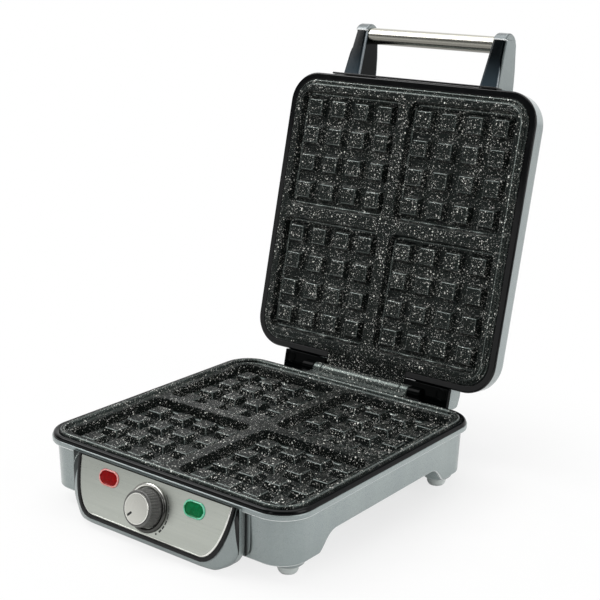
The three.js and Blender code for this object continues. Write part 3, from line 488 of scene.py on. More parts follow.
def painted_shade_trim_look(name, dark, light):
    """Painted shade: the dark strip beside the control box, which fades into the silver wall at its outer
    edge.
    """
    look = Look(name, Specular_IOR_Level=0.3)
    away = look.math("ABSOLUTE", look.distance(RIM, "X"))
    # Painted shade: near black by the box, fading to silver further out.
    fade = look.ramp(away, 0, 1, CONTROL_HALF + 2.0, CONTROL_HALF + 5.2)
    grain = look.noise(0.3, 1)
    tone = look.blend(fade, look.tones(grain, dark, light, 0.2), linear("8d9595"))
    look.set(Metallic=look.math("MULTIPLY", fade, 0.5))
    return look.finish(tone, look.ramp(grain, 0.16, 0.26), look.bump(grain, 0.004))


def brushed_look(name, place, stretch, tones, roughness, contrast, painted_sheen):
    """Brushed steel. stretch is the brush marks' length against their width along each axis, and a turned
    disc has none. The last argument is painted light and shade, a slow change of tone: its direction, where
    it starts and ends, and its darkest share."""
    look = Look(name, Metallic=1.0)
    if stretch is None:
        flat = look.placed(place, (1, 1, 0))
        radius = look.node("VectorMath", {0: flat}, operation="LENGTH").outputs["Value"]
        where = look.node("CombineXYZ", {"X": radius, "Y": 0.0, "Z": 0.0}).outputs[0]
    else:
        where = look.placed(place, tuple(1 / part for part in stretch))
    fine = look.noise(0.2, 2, where)
    broad = look.noise(1.6, 2, where)
    tone = look.tones(broad, *tones, 0.2, contrast)
    # Painted light and shade: the tone darkens across the part.
    (across, up), start, end, darkest = painted_sheen
    along = look.math("MULTIPLY", look.distance(place, "X"), across)
    along = look.math("ADD", along, look.math("MULTIPLY", look.distance(place, "Y"), up))
    tone = look.dimmed(tone, look.ramp(along, darkest, 1.0, start, end))
    return look.finish(
        tone,
        look.ramp(fine, roughness - 0.05 * contrast, roughness + 0.06 * contrast),
        look.bump(fine, 0.006 * contrast),
    )


def plastic_look(name, low, high, roughness, grain=0.6, depth=0.02):
    """Moulded plastic or rubber with a spark-eroded grain."""
    look = Look(name)
    fine = look.noise(grain, 2)
    return look.finish(
        look.tones(look.noise(20, 3), low, high),
        look.ramp(fine, roughness - 0.08, roughness + 0.08),
        look.bump(fine, depth),
    )


def metal_look(name, low, high, roughness, grain=1.5):
    """Plated or rolled sheet metal with cloudy tone and faint scratches."""
    look = Look(name, Metallic=0.9)
    fine = look.noise(grain, 3)
    return look.finish(
        look.tones(look.noise(grain * 5, 3), low, high),
        look.ramp(fine, roughness - 0.1, roughness + 0.1),
        look.bump(fine, 0.01),
    )


def lens_look(name, deep, pale, level):
    """Clear tinted plastic with faint mould swirls."""
    look = Look(name, Specular_IOR_Level=level, Subsurface_Weight=0.2, Subsurface_Scale=0.0015)
    return look.finish(
        look.tones(look.noise(3.5, 2), deep, pale, 0.2),
        look.ramp(look.noise(0.6, 1), 0.12, 0.17),
        look.bump(look.noise(1.6, 1), 0.01),
    )


# The last number paints shade onto the base's front wall.
silver = silver_look("silver_lacquer", "899393", "b2bcbb", "8a9698", 0.74)
# A darker copy of the silver lacquer for the arms' skins: painted shade.
arm_silver_painted_shade = silver_look("silver_lacquer_arms_painted_shade", "788181", "9aa4a3", "798486")
# A lighter copy of the silver lacquer for the control box's ribs: painted highlight.
rib_silver_painted_highlight = silver_look("silver_lacquer_ribs_painted_highlight", "a3adac", "c4cecc", "b0baba")
# Near-white metal for the housing's rounded lower edges: painted highlight.
silver_edge_painted_highlight = metal_look("silver_edge_painted_highlight", "dfe3e3", "ebeeee", 0.2)
gloss_black = gloss_black_look()
# A darker copy of the gloss black that hardly reflects, for the hinge blocks: painted shade.
deep_black_painted_shade = gloss_black_look("deep_black_painted_shade", "010202", "030404", 0.04)
rim_black = gloss_black_look("rim_black", "030405", "060708", 0.15)
arm_black = gloss_black_look("arm_black", "04080a", "080d0f", 0.08)
# The arms' black fronts, with a painted reflection that lightens them near the lid.
arm_front_painted_reflection = gloss_black_look("arm_front_painted_reflection", "05080a", "0b1013", 0.16, "3d4b54")
# A darker copy of the silver lacquer for the caps over the arms' tips: painted shade.
cap_silver_painted_shade = silver_look("silver_lacquer_caps_painted_shade", "4e5557", "6c7476", "5a6264")
# Grey for the bevels of the arms' black cores: painted highlight.
arm_edge_painted_highlight = gloss_black_look("gloss_black_edges_painted_highlight", "59636a", "6d777d", 0.9)
# Near-white for the edge where the silver cap meets the arm: painted highlight.
pale_edge_painted_highlight = plastic_look("pale_edge_painted_highlight", "e3e6e6", "f0f2f2", 0.3, 0.5)
coating = coating_look("speckled_coating", "060908", "0d1110", 0.22, 0.4)
# A lighter coating for the plates' rounded edges and fillets: painted highlight.
coating_painted_highlight = coating_look("coating_on_edges_painted_highlight", "1e2221", "2b302e", 1.0, 0.24)
base_coating = coating_look("speckled_coating_base", "080b0a", "0f1312", 0.1, 0.42)
# A lighter coating for the lower plate's bead and fillets: painted highlight.
base_edges_painted_highlight = coating_look("coating_on_base_edges_painted_highlight", "262b2a", "343a38", 0.8, 0.26)
# A lighter coating for the hinge barrel: painted highlight.
barrel_coating_painted_highlight = coating_look("coating_on_barrel_painted_highlight", "1a1e1d", "292d2b", 0.8, 0.26)
# Painted shade beside the control box; the left strip is painted a lighter grey than the right.
painted_shade_trims = {
    "left": painted_shade_trim_look("painted_shade_trim_left", "2c3131", "363c3c"),
    "right": painted_shade_trim_look("painted_shade_trim_right", "060708", "0b0d0e"),
}
# The last numbers of each brushed steel paint light and shade across it.
panel_steel = brushed_look(
    "panel_steel", PANEL, (90, 1, 1), ("b6bab3", "c0c4bc"), 0.3, 0.6, ((0.3, -1.6), -10, 42, 0.76))
# Near-white steel for raised edges on the panel and knob: painted highlight.
bright_edge_painted_highlight = metal_look("steel_edge_painted_highlight", "e2e3dd", "efefea", 0.16)
grip_steel = brushed_look(
    "grip_steel", LID, (400, 2, 2), ("bcbab0", "c4c2b8"), 0.18, 0.3,
    ((0, -1), -GRIP_Y - 2.5, -GRIP_Y + 1, 0.42))
knob_place = PANEL @ Matrix.Translation((0, KNOB_V, 0))
disc_steel = brushed_look(
    "disc_steel", knob_place, None, ("d2d2cb", "dadad4"), 0.28, 0.2, ((-0.6, -1), -16, 14, 0.72))
ring_steel = brushed_look(
    "ring_steel", knob_place, None, ("dcdcd6", "e6e6e0"), 0.16, 0.2, ((-0.8, 1), -6, 14, 0.1))
knob_grey = plastic_look("knob_grey", "585856", "686865", 0.3, 0.5)
dull_black = plastic_look("dull_black", "1d1f20", "282a2b", 0.55, 0.8, 0.03)
# The feet's grey is made paler to lift the shade they stand in: partly painted light.
rubber_grey = plastic_look("rubber_grey", "d2d8d6", "dee3e1", 0.6, 0.9, 0.03)
ceramic = plastic_look("ceramic", "cfcabb", "ddd8ca", 0.6, 0.5)
ink_black = plastic_look("ink_black", "141516", "1e2021", 0.5, 0.5, 0.005)
sheath = metal_look("element_sheath", "4a4a46", "5e5d57", 0.45)
galvanised = metal_look("galvanised_sheet", "8a8d90", "a7aaac", 0.4, 3)
plated = metal_look("plated_steel", "9a9c9e", "b4b6b8", 0.32, 0.8)
red_deep = lens_look("red_lens", "760103", "8e0204", 0.08)
red_pale = lens_look("red_lens_rim", "d8807c", "eba8a2", 0.8)
green_deep = lens_look("green_lens", "015a2e", "027040", 0.08)
green_pale = lens_look("green_lens_rim", "4fc096", "8fdcc0", 0.8)


# ---------------------------------------------------------------- base casings

def arch_outline():
    """The arch between the legs, seen from the side: a level crown that sweeps down to each leg."""
    steps = 26
    floor_half = HALF_Y - LEG_DEPTH
    crown_half = floor_half - LEG_SWEEP
    half = []
    for step in range(steps + 1):
        share = step / steps
        fall = (1 - cos(pi * share)) / 2
        half.append((lerp(crown_half, floor_half, share ** 0.6), lerp(-ARCH_DROP, -LEG_LENGTH, fall)))
    return mirrored(half + [(floor_half, -STAND_HEIGHT - 5)])


def make_housing():
    inner = LIP_OVERHANG + HOUSING_WALL
    shell = rim_sweep([
        (0, 0), (0, -LIP_HEIGHT), (LIP_OVERHANG, -LIP_HEIGHT), (LIP_OVERHANG + DRAFT, -LEG_LENGTH),
        (inner + DRAFT, -LEG_LENGTH), (inner, 0),
    ])
    far = 2 * HALF_Y
    door_half = CONTROL_HALF - 10.5
    notch_half = CONTROL_HALF + CLEARANCE
    cut(
        shell,
        prism(arch_outline(), -far, far, "x"),
        box(-door_half, door_half, -far, -WALL_Y / 2, -STAND_HEIGHT, -9),
        box(-notch_half, notch_half, -far, -WALL_Y, -far, -1.6),
        rod(6.5, (CORD_X, CORD_Z), 0, far, "y"),
    )
    # The bevel's faces below the top lip take the near-white edge look: painted highlight.
    add_looks(shell, silver, silver_edge_painted_highlight)
    bevel(shell, 0.8, 3, 32, 1)

    def choose(centre):
        return 0 if centre.z > -LIP_HEIGHT + 1.5 else None

    looks = [silver, silver_edge_painted_highlight]
    publish(shell, "base_housing", RIM, "base", looks, ["lower_housing"], choose)


def make_bezel():
    crest, crest_inset, foot_inset, drop = 3.4, 3.4, 0.8, 2.9
    profile = [(foot_inset, SEAM)]
    for degrees in range(0, 91, 15):
        turn = radians(degrees)
        inset = foot_inset + (crest_inset - foot_inset) * (1 - cos(turn))
        profile.append((inset, crest - drop * (1 - sin(turn))))
    profile += [
        (4.4, 3.3), (5.4, 3.0), (6.1, 2.7), (6.6, 2.35), (6.8, 1.9), (6.8, 1.2), (7.0, 1.0), (9.9, 1),
        (9.9, -8), (7.9, -8), (7.9, SEAM),
    ]
    rim = rim_sweep(profile)
    gap = TONGUE_HALF + CLEARANCE
    cut(rim, box(-gap, gap, WALL_Y - 2 * BEZEL_FACE, 2 * HALF_Y, SEAM, 50))
    publish(rim, "base_rim", RIM, "base", [rim_black], ["lower_bezel"])


def make_bottom_cover():
    margin = HOUSING_WALL + DRAFT + CLEARANCE
    floor, top = -29.5, -27.3
    sheet = prism(outline(WALL_X - margin, WALL_Y - margin, WALL_CORNER - margin), floor, top)
    pods = []
    for sx in (-1, 1):
        for sy in (-1, 1):
            pods.append(turned([
                (9.5, -52.6), (11.6, -52.0), (13.2, -50.6), (14.2, -48.6), (14.5, -46.2), (14.5, top - 0.5),
            ], (sx * FOOT_X, sy * FOOT_Y)))
    gap = CONTROL_HALF + CLEARANCE
    cut(join(sheet, *pods), box(-gap, gap, -2 * HALF_Y, -WALL_Y + 16, -STAND_HEIGHT, STAND_HEIGHT))
    half_slot = ((-1.5, -14), (1.5, -14), (1.5, 14), (-1.5, 14))
    vents = []
    for x in range(-54, 55, 9):
        for y in (-30, 30):
            corners = rounded([(x + a, y + b, 1.4) for a, b in half_slot])
            vents.append(prism(corners, floor - 1, top + 1))
    cut(sheet, *vents)
    publish(sheet, "underside_cover", RIM, "base", [silver], ["bottom_cover"])


def make_foot(sx, sy, name):
    top = -STAND_HEIGHT + 7.2
    ground = -STAND_HEIGHT
    pad = turned([
        (5.8, ground), (6.8, ground + 0.3), (7.6, ground + 1.2), (8.4, ground + 2.8), (8.9, top - 1.6),
        (8.9, top - 0.7), (8.4, top), (3, top), (3, top + 5),
    ], (sx * FOOT_X, sy * FOOT_Y))
    publish(pad, f"rubber_foot_{name}", RIM, "base", [rubber_grey], [f"foot_{name}"])


def make_gland():
    face = WALL_Y + CLEARANCE
    body = turned([
        (6.2, face - 5), (6.2, face - 0.1), (9, face - 0.1), (9, face + 2.2), (8.5, face + 3),
        (6.4, face + 3), (5.9, face + 2.4), (4.4, face + 2.2), (3.8, face + 1.6), (3.8, face - 5),
    ], (CORD_X, CORD_Z), "y", closed=True)
    publish(body, "cord_grommet", RIM, "base", [dull_black], ["cord_gland"])


# ---------------------------------------------------------------- cooking plates

class Casting:
    """The mesh of a cast cooking plate, made as one quadrant and mirrored. Depth d below the cooking face
    is at height land + into * d."""

    cavity_half, cavity_corner, cavity_draft = 58.0, 9.0, 1.5
    rim_radius, fillet_radius = 1.0, 1.8
    post_lines = (-52.4, -31.6, -24.4, -3.6, 3.6, 24.4, 31.6, 52.4)
    post_tip_set_in = 2.9
    centre = 64.45
    arc_steps = 8

    def __init__(self, land, into, depth, post_height):
        self.land, self.into, self.depth, self.post_height = land, into, depth, post_height
        self.mesh = bmesh.new()

    def point(self, x, y, depth):
        return self.mesh.verts.new((self.centre + x, self.centre + y, self.land + self.into * depth))

    def face(self, *corners):
        self.mesh.faces.new(corners)

    def bowl_ring(self, inset, depth):
        """Points round the cavity, with one for each line of the post grid and an arc at each corner."""
        half, radius = self.cavity_half - inset, self.cavity_corner - inset
        ring = []
        for quarter, (sx, sy) in enumerate(((1, 1), (-1, 1), (-1, -1), (1, -1))):
            for line in self.post_lines[1:-1]:
                across = (sx * half, sy * line) if quarter % 2 == 0 else (sx * line, sy * half)
                ring.append(self.point(*across, depth))
            turn = 90 * quarter
            corner = arc(sx * (half - radius), sy * (half - radius), radius, turn, turn + 90, self.arc_steps)
            ring += [self.point(x, y, depth) for x, y in corner]
        return ring

    def bridge(self, low, high, closed=True):
        count = len(low)
        for i in range(count if closed else count - 1):
            j = (i + 1) % count
            self.face(low[i], low[j], high[j], high[i])

    def floor(self, ring):
        """The cavity's floor with its posts, out to the ring."""
        lines, last = self.post_lines, len(self.post_lines) - 1
        grid = [[self.point(x, y, self.depth) for y in lines] for x in lines]
        for i in range(last):
            for j in range(last):
                cell = [grid[i][j], grid[i + 1][j], grid[i + 1][j + 1], grid[i][j + 1]]
                if i % 2 or j % 2:
                    self.face(*cell)
                    continue
                x, y = (lines[i] + lines[i + 1]) / 2, (lines[j] + lines[j + 1]) / 2
                tip = (lines[i + 1] - lines[i]) / 2 - self.post_tip_set_in
                depth = self.depth - self.post_height
                ways = ((-1, -1), (1, -1), (1, 1), (-1, 1))
                top = [self.point(x + a * tip, y + b * tip, depth) for a, b in ways]
                self.bridge(cell, top)
                self.face(*top)
        rim = (
            [grid[last][j] for j in range(1, last + 1)] + [grid[i][last] for i in range(last - 1, -1, -1)]
            + [grid[0][j] for j in range(last - 1, -1, -1)] + [grid[i][0] for i in range(1, last + 1)]
        )
        side = last - 1
        step = side + self.arc_steps + 1
        for quarter in range(4):
            inner = rim[quarter * last:quarter * last + last]
            outer = ring[quarter * step:quarter * step + step]
            self.bridge(inner[:side], outer[:side], closed=False)
            corner = inner[side]
            self.face(inner[side - 1], outer[side - 1], outer[side], corner)
            for near, far in zip(outer[side:], outer[side + 1:]):
                self.face(corner, near, far)
            following = (quarter + 1) % 4
            self.face(corner, outer[-1], ring[following * step], rim[following * last])

    def tile(self, ring, half_x, half_y, radius):
        """The flat land from the cavity to the plate's middle lines and its outer edge. Returns the points
        of that edge with their outward directions."""
        steps = self.arc_steps
        side = len(self.post_lines) - 2
        step = side + steps + 1
        low, edge = -self.centre, []
        hx, hy = half_x - self.centre, half_y - self.centre
        start = self.cavity_half - self.cavity_corner
        spots = []
        for quarter in range(4):
            for line in self.post_lines[1:-1]:
                spots.append([(hx, line), (-line, hy), (low, -line), (line, low)][quarter])
            if quarter == 0:
                spots += arc(hx - radius, hy - radius, radius, 0, 90, steps)
                continue
            legs = {
                1: ((-start, hy), (low, hy), (low, start)),
                2: ((low, -start), (low, low), (-start, low)),
                3: ((start, low), (hx, low), (hx, -start)),
            }[quarter]
            for i in range(steps + 1):
                a, b = legs[:2] if i <= steps / 2 else legs[1:]
                share = i / (steps / 2) - (0 if i <= steps / 2 else 1)
                spots.append((lerp(a[0], b[0], share), lerp(a[1], b[1], share)))
        outer = [self.point(x, y, 0) for x, y in spots]
        self.bridge(ring, outer)
        begin, end = 3 * step + side + steps // 2, step + side + steps // 2
        order = list(range(begin, 4 * step)) + list(range(0, end + 1))
        for index in order:
            if index < side or index >= begin:
                direction = (1, 0)
            elif index < step:
                turn = (index - side) / steps * pi / 2
                direction = (cos(turn), sin(turn))
            else:
                direction = (0, 1)
            edge.append((outer[index], spots[index], direction))
        return edge

    def walls(self):
        """The wall of a cavity as (inset, depth): a rounded rim, a drafted side and a filleted foot."""
        turns = [radians(90 * step / 4) for step in range(5)]
        rim, fillet = self.rim_radius, self.fillet_radius
        upper = [(-rim * (1 - sin(turn)), rim * (1 - cos(turn))) for turn in turns]
        foot_inset = self.cavity_draft - 0.2
        return upper + [
            (foot_inset + fillet * (1 - cos(turn)), self.depth - fillet * (1 - sin(turn))) for turn in turns]

    def finish(self, set_in, skirt, back_inset, back):
        """set_in is from the body's outline to the land's edge; skirt is (outset, height towards the mating
        plate) from there outwards and down; back_inset and back close the underside."""
        half_x, half_y, radius = HALF_X - set_in, HALF_Y - set_in, CORNER - set_in
        rings = [self.bowl_ring(inset, depth) for inset, depth in self.walls()]
        for low, high in zip(rings, rings[1:]):
            self.bridge(low, high)
        self.floor(rings[-1])
        edge = self.tile(rings[0], half_x, half_y, radius)
        chain = [vert for vert, _, _ in edge]
        for outset, height in skirt + [(-back_inset, skirt[-1][1]), (-back_inset - 1, -back)]:
            following = [
                self.point(x + dx * outset, y + dy * outset, -height) for _, (x, y), (dx, dy) in edge]
            self.bridge(chain, following, closed=False)
            chain = following
        middle = self.point(-self.centre, -self.centre, back)
        for near, far in zip(chain, chain[1:]):
            self.face(near, far, middle)
        for axis in (0, 1):
            flip = Matrix.Scale(-1, 4, [1 - axis, axis, 0])
            whole = self.mesh.verts[:] + self.mesh.edges[:] + self.mesh.faces[:]
            copy = bmesh.ops.duplicate(self.mesh, geom=whole)
            verts = [item for item in copy["geom"] if isinstance(item, bmesh.types.BMVert)]
            bmesh.ops.transform(self.mesh, matrix=flip, verts=verts)
            bmesh.ops.remove_doubles(self.mesh, verts=self.mesh.verts, dist=0.005)
        plate = store(self.mesh)
        # The bevel's faces take the lighter edge coating: painted highlight.
        add_looks(plate, coating, coating_painted_highlight)
        return bevel(plate, 0.7, 3, 27, 1)


def make_lower_plate():
    casting = Casting(LOWER_LAND, -1, 11, 6.4)
    skirt = [(0.25, 0.6), (0.35, 3.1), (0.9, 3.8), (1.6, 4), (3.4, 4), (4.2, 3.7), (4.6, 2.9), (4.6, 0.4)]
    plate = casting.finish(BEAD_INSET, skirt, 1.6, 14.2)
    tongue_rear = HINGE_Y - BARREL_RADIUS - 0.5
    front = HALF_Y - BEAD_INSET + 1
    parts = [bevel(box(-TONGUE_HALF, TONGUE_HALF, front, tongue_rear, 0.4, 3.6), 0.6)]
    for side, _ in SIDES:
        near, far = span(side, BARREL_HALF + 0.5, TONGUE_HALF)
        parts.append(bevel(box(near, far, front, HINGE_Y, 0.4, 3.6), 0.5))
        parts.append(bevel(hinge_rod(BARREL_RADIUS, near, far), 0.7))
    join(plate, *parts)
    cut(plate, hinge_rod(PIN_BORE, -HALF_X, HALF_X))
    publish(plate, "cooking_plate_lower", RIM, "base",
            [base_coating, base_edges_painted_highlight], ["lower_plate"], lower_plate_look)


def cavity_foot_look(centre):
    """A cavity's floor fillet takes the lighter edge coating, a painted highlight; its posts' feet don't."""
    across = max(abs(abs(centre.x) - Casting.centre), abs(abs(centre.y) - Casting.centre))
    return 1 if across > Casting.cavity_half - 3.3 else 0


def lower_plate_look(centre):
    """The lower plate's bead and the fillets round its cavities' floors take a lighter coating: painted
    highlight.
    """
    if centre.z < LOWER_LAND - 9:
        return cavity_foot_look(centre)
    inset = min(HALF_X - abs(centre.x), HALF_Y - abs(centre.y))
    return 1 if centre.z > LOWER_LAND + 0.5 and inset < BEAD_INSET else None


def upper_plate_look(centre):
    """The upper plate's barrel takes a lighter coating, a painted highlight, and its tongue is as dark as
    the lower plate.
    """
    if centre.z > UPPER_LAND + 7.5 and centre.y < HALF_Y - BEAD_INSET - 2:
        return cavity_foot_look(centre)
    # The barrel's faces take the lighter coating: painted highlight.
    if math.hypot(centre.y - HINGE_Y, centre.z - HINGE_Z) < BARREL_RADIUS + 0.1:
        return 3
    if centre.y > HALF_Y - BEAD_INSET + 2 and centre.z > 5.9 and abs(centre.x) < BARREL_HALF + 0.1:
        return 2
    return None


def make_upper_plate():
    casting = Casting(UPPER_LAND, 1, 9.2, 7)
    pad = BEAD_INSET + 1.6
    skirt = [
        (0.4, -0.1), (0.8, -0.4), (1, -0.9), (1.05, -4.0), (1.3, -4.4), (1.8, -4.5), (2.4, -4.5),
        (2.7, -4.3), (2.9, -3.95), (3.3, -3.8), (5.1, -3.8), (5.7, -3.95), (6.1, -4.4), (6.2, -5.0),
        (6.2, -7.7),
    ]
    plate = casting.finish(pad, skirt, 0.6, 12.4)
    rear = HINGE_Y - BARREL_RADIUS / 2
    tongue = bevel(box(-BARREL_HALF, BARREL_HALF, HALF_Y - pad, rear, 6.5, 9.3), 0.6)
    barrel = bevel(hinge_rod(BARREL_RADIUS, -BARREL_HALF, BARREL_HALF, 64), 0.8)
    join(plate, tongue, barrel)
    bore = hinge_rod(PIN_BORE, -HALF_X, HALF_X)
    outside, inside = BARREL_RADIUS + 1, BARREL_RADIUS - 0.7
    band = [(outside, -0.5), (outside, 0.5), (inside, 0.5), (inside, -0.5)]
    split = turned(band, (HINGE_Y, HINGE_Z), "x", 64, closed=True)
    common_front = box(-2, 2, HINGE_Y - 3.5, HINGE_Y + 10, -20, 30)
    cut(plate, bore, common(split, common_front))
    publish(plate, "cooking_plate_upper", LID, "lid",
            [coating, coating_painted_highlight, base_coating, barrel_coating_painted_highlight], ["upper_plate"], upper_plate_look)


# ---------------------------------------------------------------- control panel

FACE_STEPS = 30


def face_outline(grow):
    """The steel face's outline, wide at the top with sides that curl in to a shorter foot."""
    top_half, bottom_half = CONTROL_HALF - 8.5, CONTROL_HALF - 33.5
    share = grow / 3.4
    upper, lower = 0.5 + share, -46.2 - grow
    knots = [
        Vector((top_half + grow, upper)), Vector((top_half + grow - 2, lower * 0.5)),
        Vector((top_half + grow - 9.3, lower)), Vector((bottom_half + share, lower)),
    ]
    points = []
    for step in range(FACE_STEPS + 1):
        t = step / FACE_STEPS
        weights = ((1 - t) ** 3, 3 * t * (1 - t) ** 2, 3 * t * t * (1 - t), t ** 3)
        points.append(tuple(sum((knot * w for knot, w in zip(knots, weights)), Vector((0, 0)))))
    return mirrored(points)


def face_ring(grow, depth):
    return [(x, y, depth) for x, y in face_outline(grow)]


def lamp_outline(side, grow):
    half, radius = LAMP_HALF + grow, LAMP_RADIUS + grow
    return [(side * LAMP_X + x, LAMP_V + y) for x, y in outline(half, radius, radius - 0.1, 10)]


def panel_side(v, w):
    """A point of the panel's slope as (y, z) in the rim frame."""
    return (
        PANEL_Y + v * sin(panel_tilt) - w * cos(panel_tilt),
        PANEL_Z + v * cos(panel_tilt) + w * sin(panel_tilt),
    )


def resampled(points, count):
    """The points of an open line at equal steps along it."""
    points = [Vector(point) for point in points]
    runs = [(b - a).length for a, b in zip(points, points[1:])]
    total, result = sum(runs), []
    for step in range(count):
        left, i = total * step / (count - 1), 0
        while i < len(runs) - 1 and left > runs[i]:
            left -= runs[i]
            i += 1
        result.append(points[i].lerp(points[i + 1], min(left / runs[i], 1)))
    return result


FLANK_STEPS = 60
BOX_BOTTOM, BOX_CORNER, BOX_TOP = -57.2, 22, -1.9
FLANK_REAR = -143.6


def flank_lines():
    """The right half of the control box's outline, at the panel and where its sides run straight."""
    front = []
    for x, v in resampled(face_outline(3.9)[:FACE_STEPS + 1], FLANK_STEPS):
        y, z = panel_side(v, -1.1)
        front.append(Vector((x, y, z)))
    half = CONTROL_HALF
    rear = [(half, BOX_TOP)] + arc(half - BOX_CORNER, BOX_BOTTOM + BOX_CORNER, BOX_CORNER, 0, -90, 30)
    rear.append((front[-1].x - 8, BOX_BOTTOM))
    rear = [Vector((x, FLANK_REAR, z)) for x, z in resampled(rear, FLANK_STEPS)]
    return front, rear


def flank_point(front, rear, share):
    """A point of the flank, which leaves the panel steeply and turns to run straight back."""
    spread = 1 - (1 - share) ** 1.7
    drop = 1 - (1 - share) ** 14
    return Vector((lerp(front.x, rear.x, spread), lerp(front.y, rear.y, share), lerp(front.z, rear.z, drop)))


def flank_ring(share, inset=0.0, rear_y=None):
    front, rear = flank_lines()
    half = []
    for a, b in zip(front, rear):
        point = flank_point(a, b, share)
        if rear_y is not None:
            point.y = rear_y
        half.append(Vector((point.x - inset, point.y + inset, point.z + inset * 0.8)))
    return half + [Vector((-p.x, p.y, p.z)) for p in reversed(half)]


def make_control_cover():
    back = -WALL_Y - CLEARANCE
    shares = (0, 0.015, 0.03, 0.05, 0.075, 0.105, 0.14, 0.19, 0.26, 0.36, 0.48, 0.62, 0.8, 1)
    outer = loft([flank_ring(share) for share in shares] + [flank_ring(1, 0, back)])
    inner = loft([flank_ring(share, 2.2) for share in shares] + [flank_ring(1, 2.2, back + 1)])
    top = box(-REACH, REACH, -REACH, back + 5, BOX_TOP, 20)
    cut(outer, inner, top)
    hole = rod(SHAFT_BORE, (0, KNOB_V), -20, 5)
    hole.data.transform(RIM.inverted() @ PANEL)
    cut(outer, hole)

    # The rib at the back of the box's sides takes the lighter silver: painted highlight.
    def choose(centre):
        return 1 if centre.y > FLANK_REAR + 0.1 and abs(centre.x) > CONTROL_HALF - 4 else None

    looks = [silver, rib_silver_painted_highlight]
    publish(outer, "control_box", RIM, "base", looks, ["control_cover"], choose)


def face_edge(centre):
    """The steel face's raised edge takes a near-white steel: painted highlight."""
    return 1 if 0.05 < centre.z < 0.56 else None


def make_panel_face():
    section = (
        (3.4, -0.8), (3.4, 0.2), (3.2, 0.62), (2.7, 0.85), (1.0, 0.9), (0.5, 0.8), (0.3, 0.5), (0.3, -0.8))
    surround = loft([face_ring(grow, depth) for grow, depth in section], closed=True)
    publish(surround, "panel_surround", PANEL, "base", [gloss_black], ["control_frame"])
    section = ((0, -0.8), (0, 0.0), (-0.12, 0.15), (-0.6, 0.42), (-1.2, 0.68), (-1.35, 0.68), (-1.45, 0.6))
    plate = loft([face_ring(grow, depth) for grow, depth in section])
    holes = [prism(lamp_outline(side, CLEARANCE), -5, 5) for side, _ in SIDES]
    cut(plate, rod(SHAFT_BORE, (0, KNOB_V), -5, 5), *holes)
    looks = [panel_steel, bright_edge_painted_highlight]
    publish(plate, "steel_face", PANEL, "base", looks, ["faceplate"], face_edge)


def make_lens(side, colour, deep, pale):
    """A pill-shaped window: a pale raised rim, a groove and a slightly domed middle."""
    section = (
        (0, -0.8), (0, 0.9), (-0.15, 1.25), (-0.5, 1.45), (-1.1, 1.5), (-1.5, 1.35), (-1.75, 0.95),
        (-2.1, 0.8), (-2.5, 0.95), (-3.4, 1.1), (-5.2, 1.2), (-6.5, 1.24),
    )
    window = loft([
        [(x, y, depth) for x, y in lamp_outline(side, grow)] for grow, depth in section])
    x = side * LAMP_X
    band = [(2.7, 1.0), (2.7, 1.32), (2.5, 1.4), (2.2, 1.36), (2.0, 1.2), (2.0, 1.0)]
    join(window, turned(band, (x, LAMP_V), closed=True))

    def choose(centre):
        across = max(abs(centre.x - x) - (LAMP_HALF - LAMP_RADIUS), 0)
        edge = LAMP_RADIUS - math.hypot(across, centre.y - LAMP_V)
        return 1 if edge < 1.3 else 0

    lens = f"{colour}_lens"
    publish(window, f"{colour}_window", PANEL, "base", [deep, pale], [lens], choose)


def disc_edge(centre):
    # The disc's rim takes the near-white steel: painted highlight.
    return 1 if math.hypot(centre.x, centre.y - KNOB_V) > DISC_RADIUS - 0.95 else None


def make_knob():
    flutes, per_flute = 38, 8
    count = flutes * per_flute

    def ring(radius, lift, depth=0.0):
        points = []
        for step in range(count):
            turn = 2 * pi * step / count
            dip = depth * (0.5 - 0.5 * cos(flutes * turn)) ** 1.3
            out = radius - dip
            points.append((out * cos(turn), KNOB_V + out * sin(turn), KNOB_LIFT + lift))
        return points

    def slope(lift):
        return lerp(KNOB_BASE, KNOB_FACE, lift / KNOB_HEIGHT)

    top = KNOB_HEIGHT
    section = [
        (SHAFT_BORE, 0), (slope(0) - 0.4, 0), (slope(0.4), 0.4), (slope(1.2), 1.2), (slope(1.7), 1.7, 0.4),
        (slope(2.4), 2.4, 0.75), (slope(top - 2.2), top - 2.2, 0.7), (slope(top - 1.5), top - 1.5, 0.45),
        (slope(top - 1), top - 1), (slope(top - 0.4) - 0.1, top - 0.4), (slope(top) - 0.35, top - 0.08),
        (slope(top) - 0.65, top), (DISC_RADIUS + 0.5, top), (DISC_RADIUS + 0.3, top - 0.2),
        (DISC_RADIUS + 0.3, top - 0.9), (SHAFT_BORE, top - 0.9),
    ]
    grip = loft([ring(*part) for part in section], closed=True)
    publish(grip, "knob_grip", PANEL, "knob", [knob_grey], ["knob"])
    low, high = KNOB_LIFT + top - 0.6, KNOB_LIFT + top + 0.6
    rim = DISC_RADIUS
    disc = turned([
        (rim - 0.8, low), (rim, low), (rim, high - 0.5), (rim - 0.15, high - 0.15), (rim - 0.5, high),
        (rim - 0.9, high - 0.02), (rim - 1.2, high - 0.16),
    ], (0, KNOB_V), segments=96)
    ends = [Vector((-4.3, KNOB_V - 4.0)), Vector((-8.2, KNOB_V - 7.8))]
    along = (ends[1] - ends[0]).normalized()
    across = Vector((-along.y, along.x)) * 1.0
    slot = [ends[0] - across, ends[1] - across, ends[1] + across, ends[0] + across]
    cut(disc, prism(rounded([(p.x, p.y, 0.6) for p in slot]), high - 0.5, high + 1))
    looks = [disc_steel, bright_edge_painted_highlight]
    publish(disc, "knob_disc", PANEL, "knob", looks, ["knob_cap"], disc_edge)
    mark = prism([(p.x, p.y) for p in slot], high - 0.55, high - 0.32)
    publish(mark, "knob_pointer", PANEL, "knob", [ink_black], [])


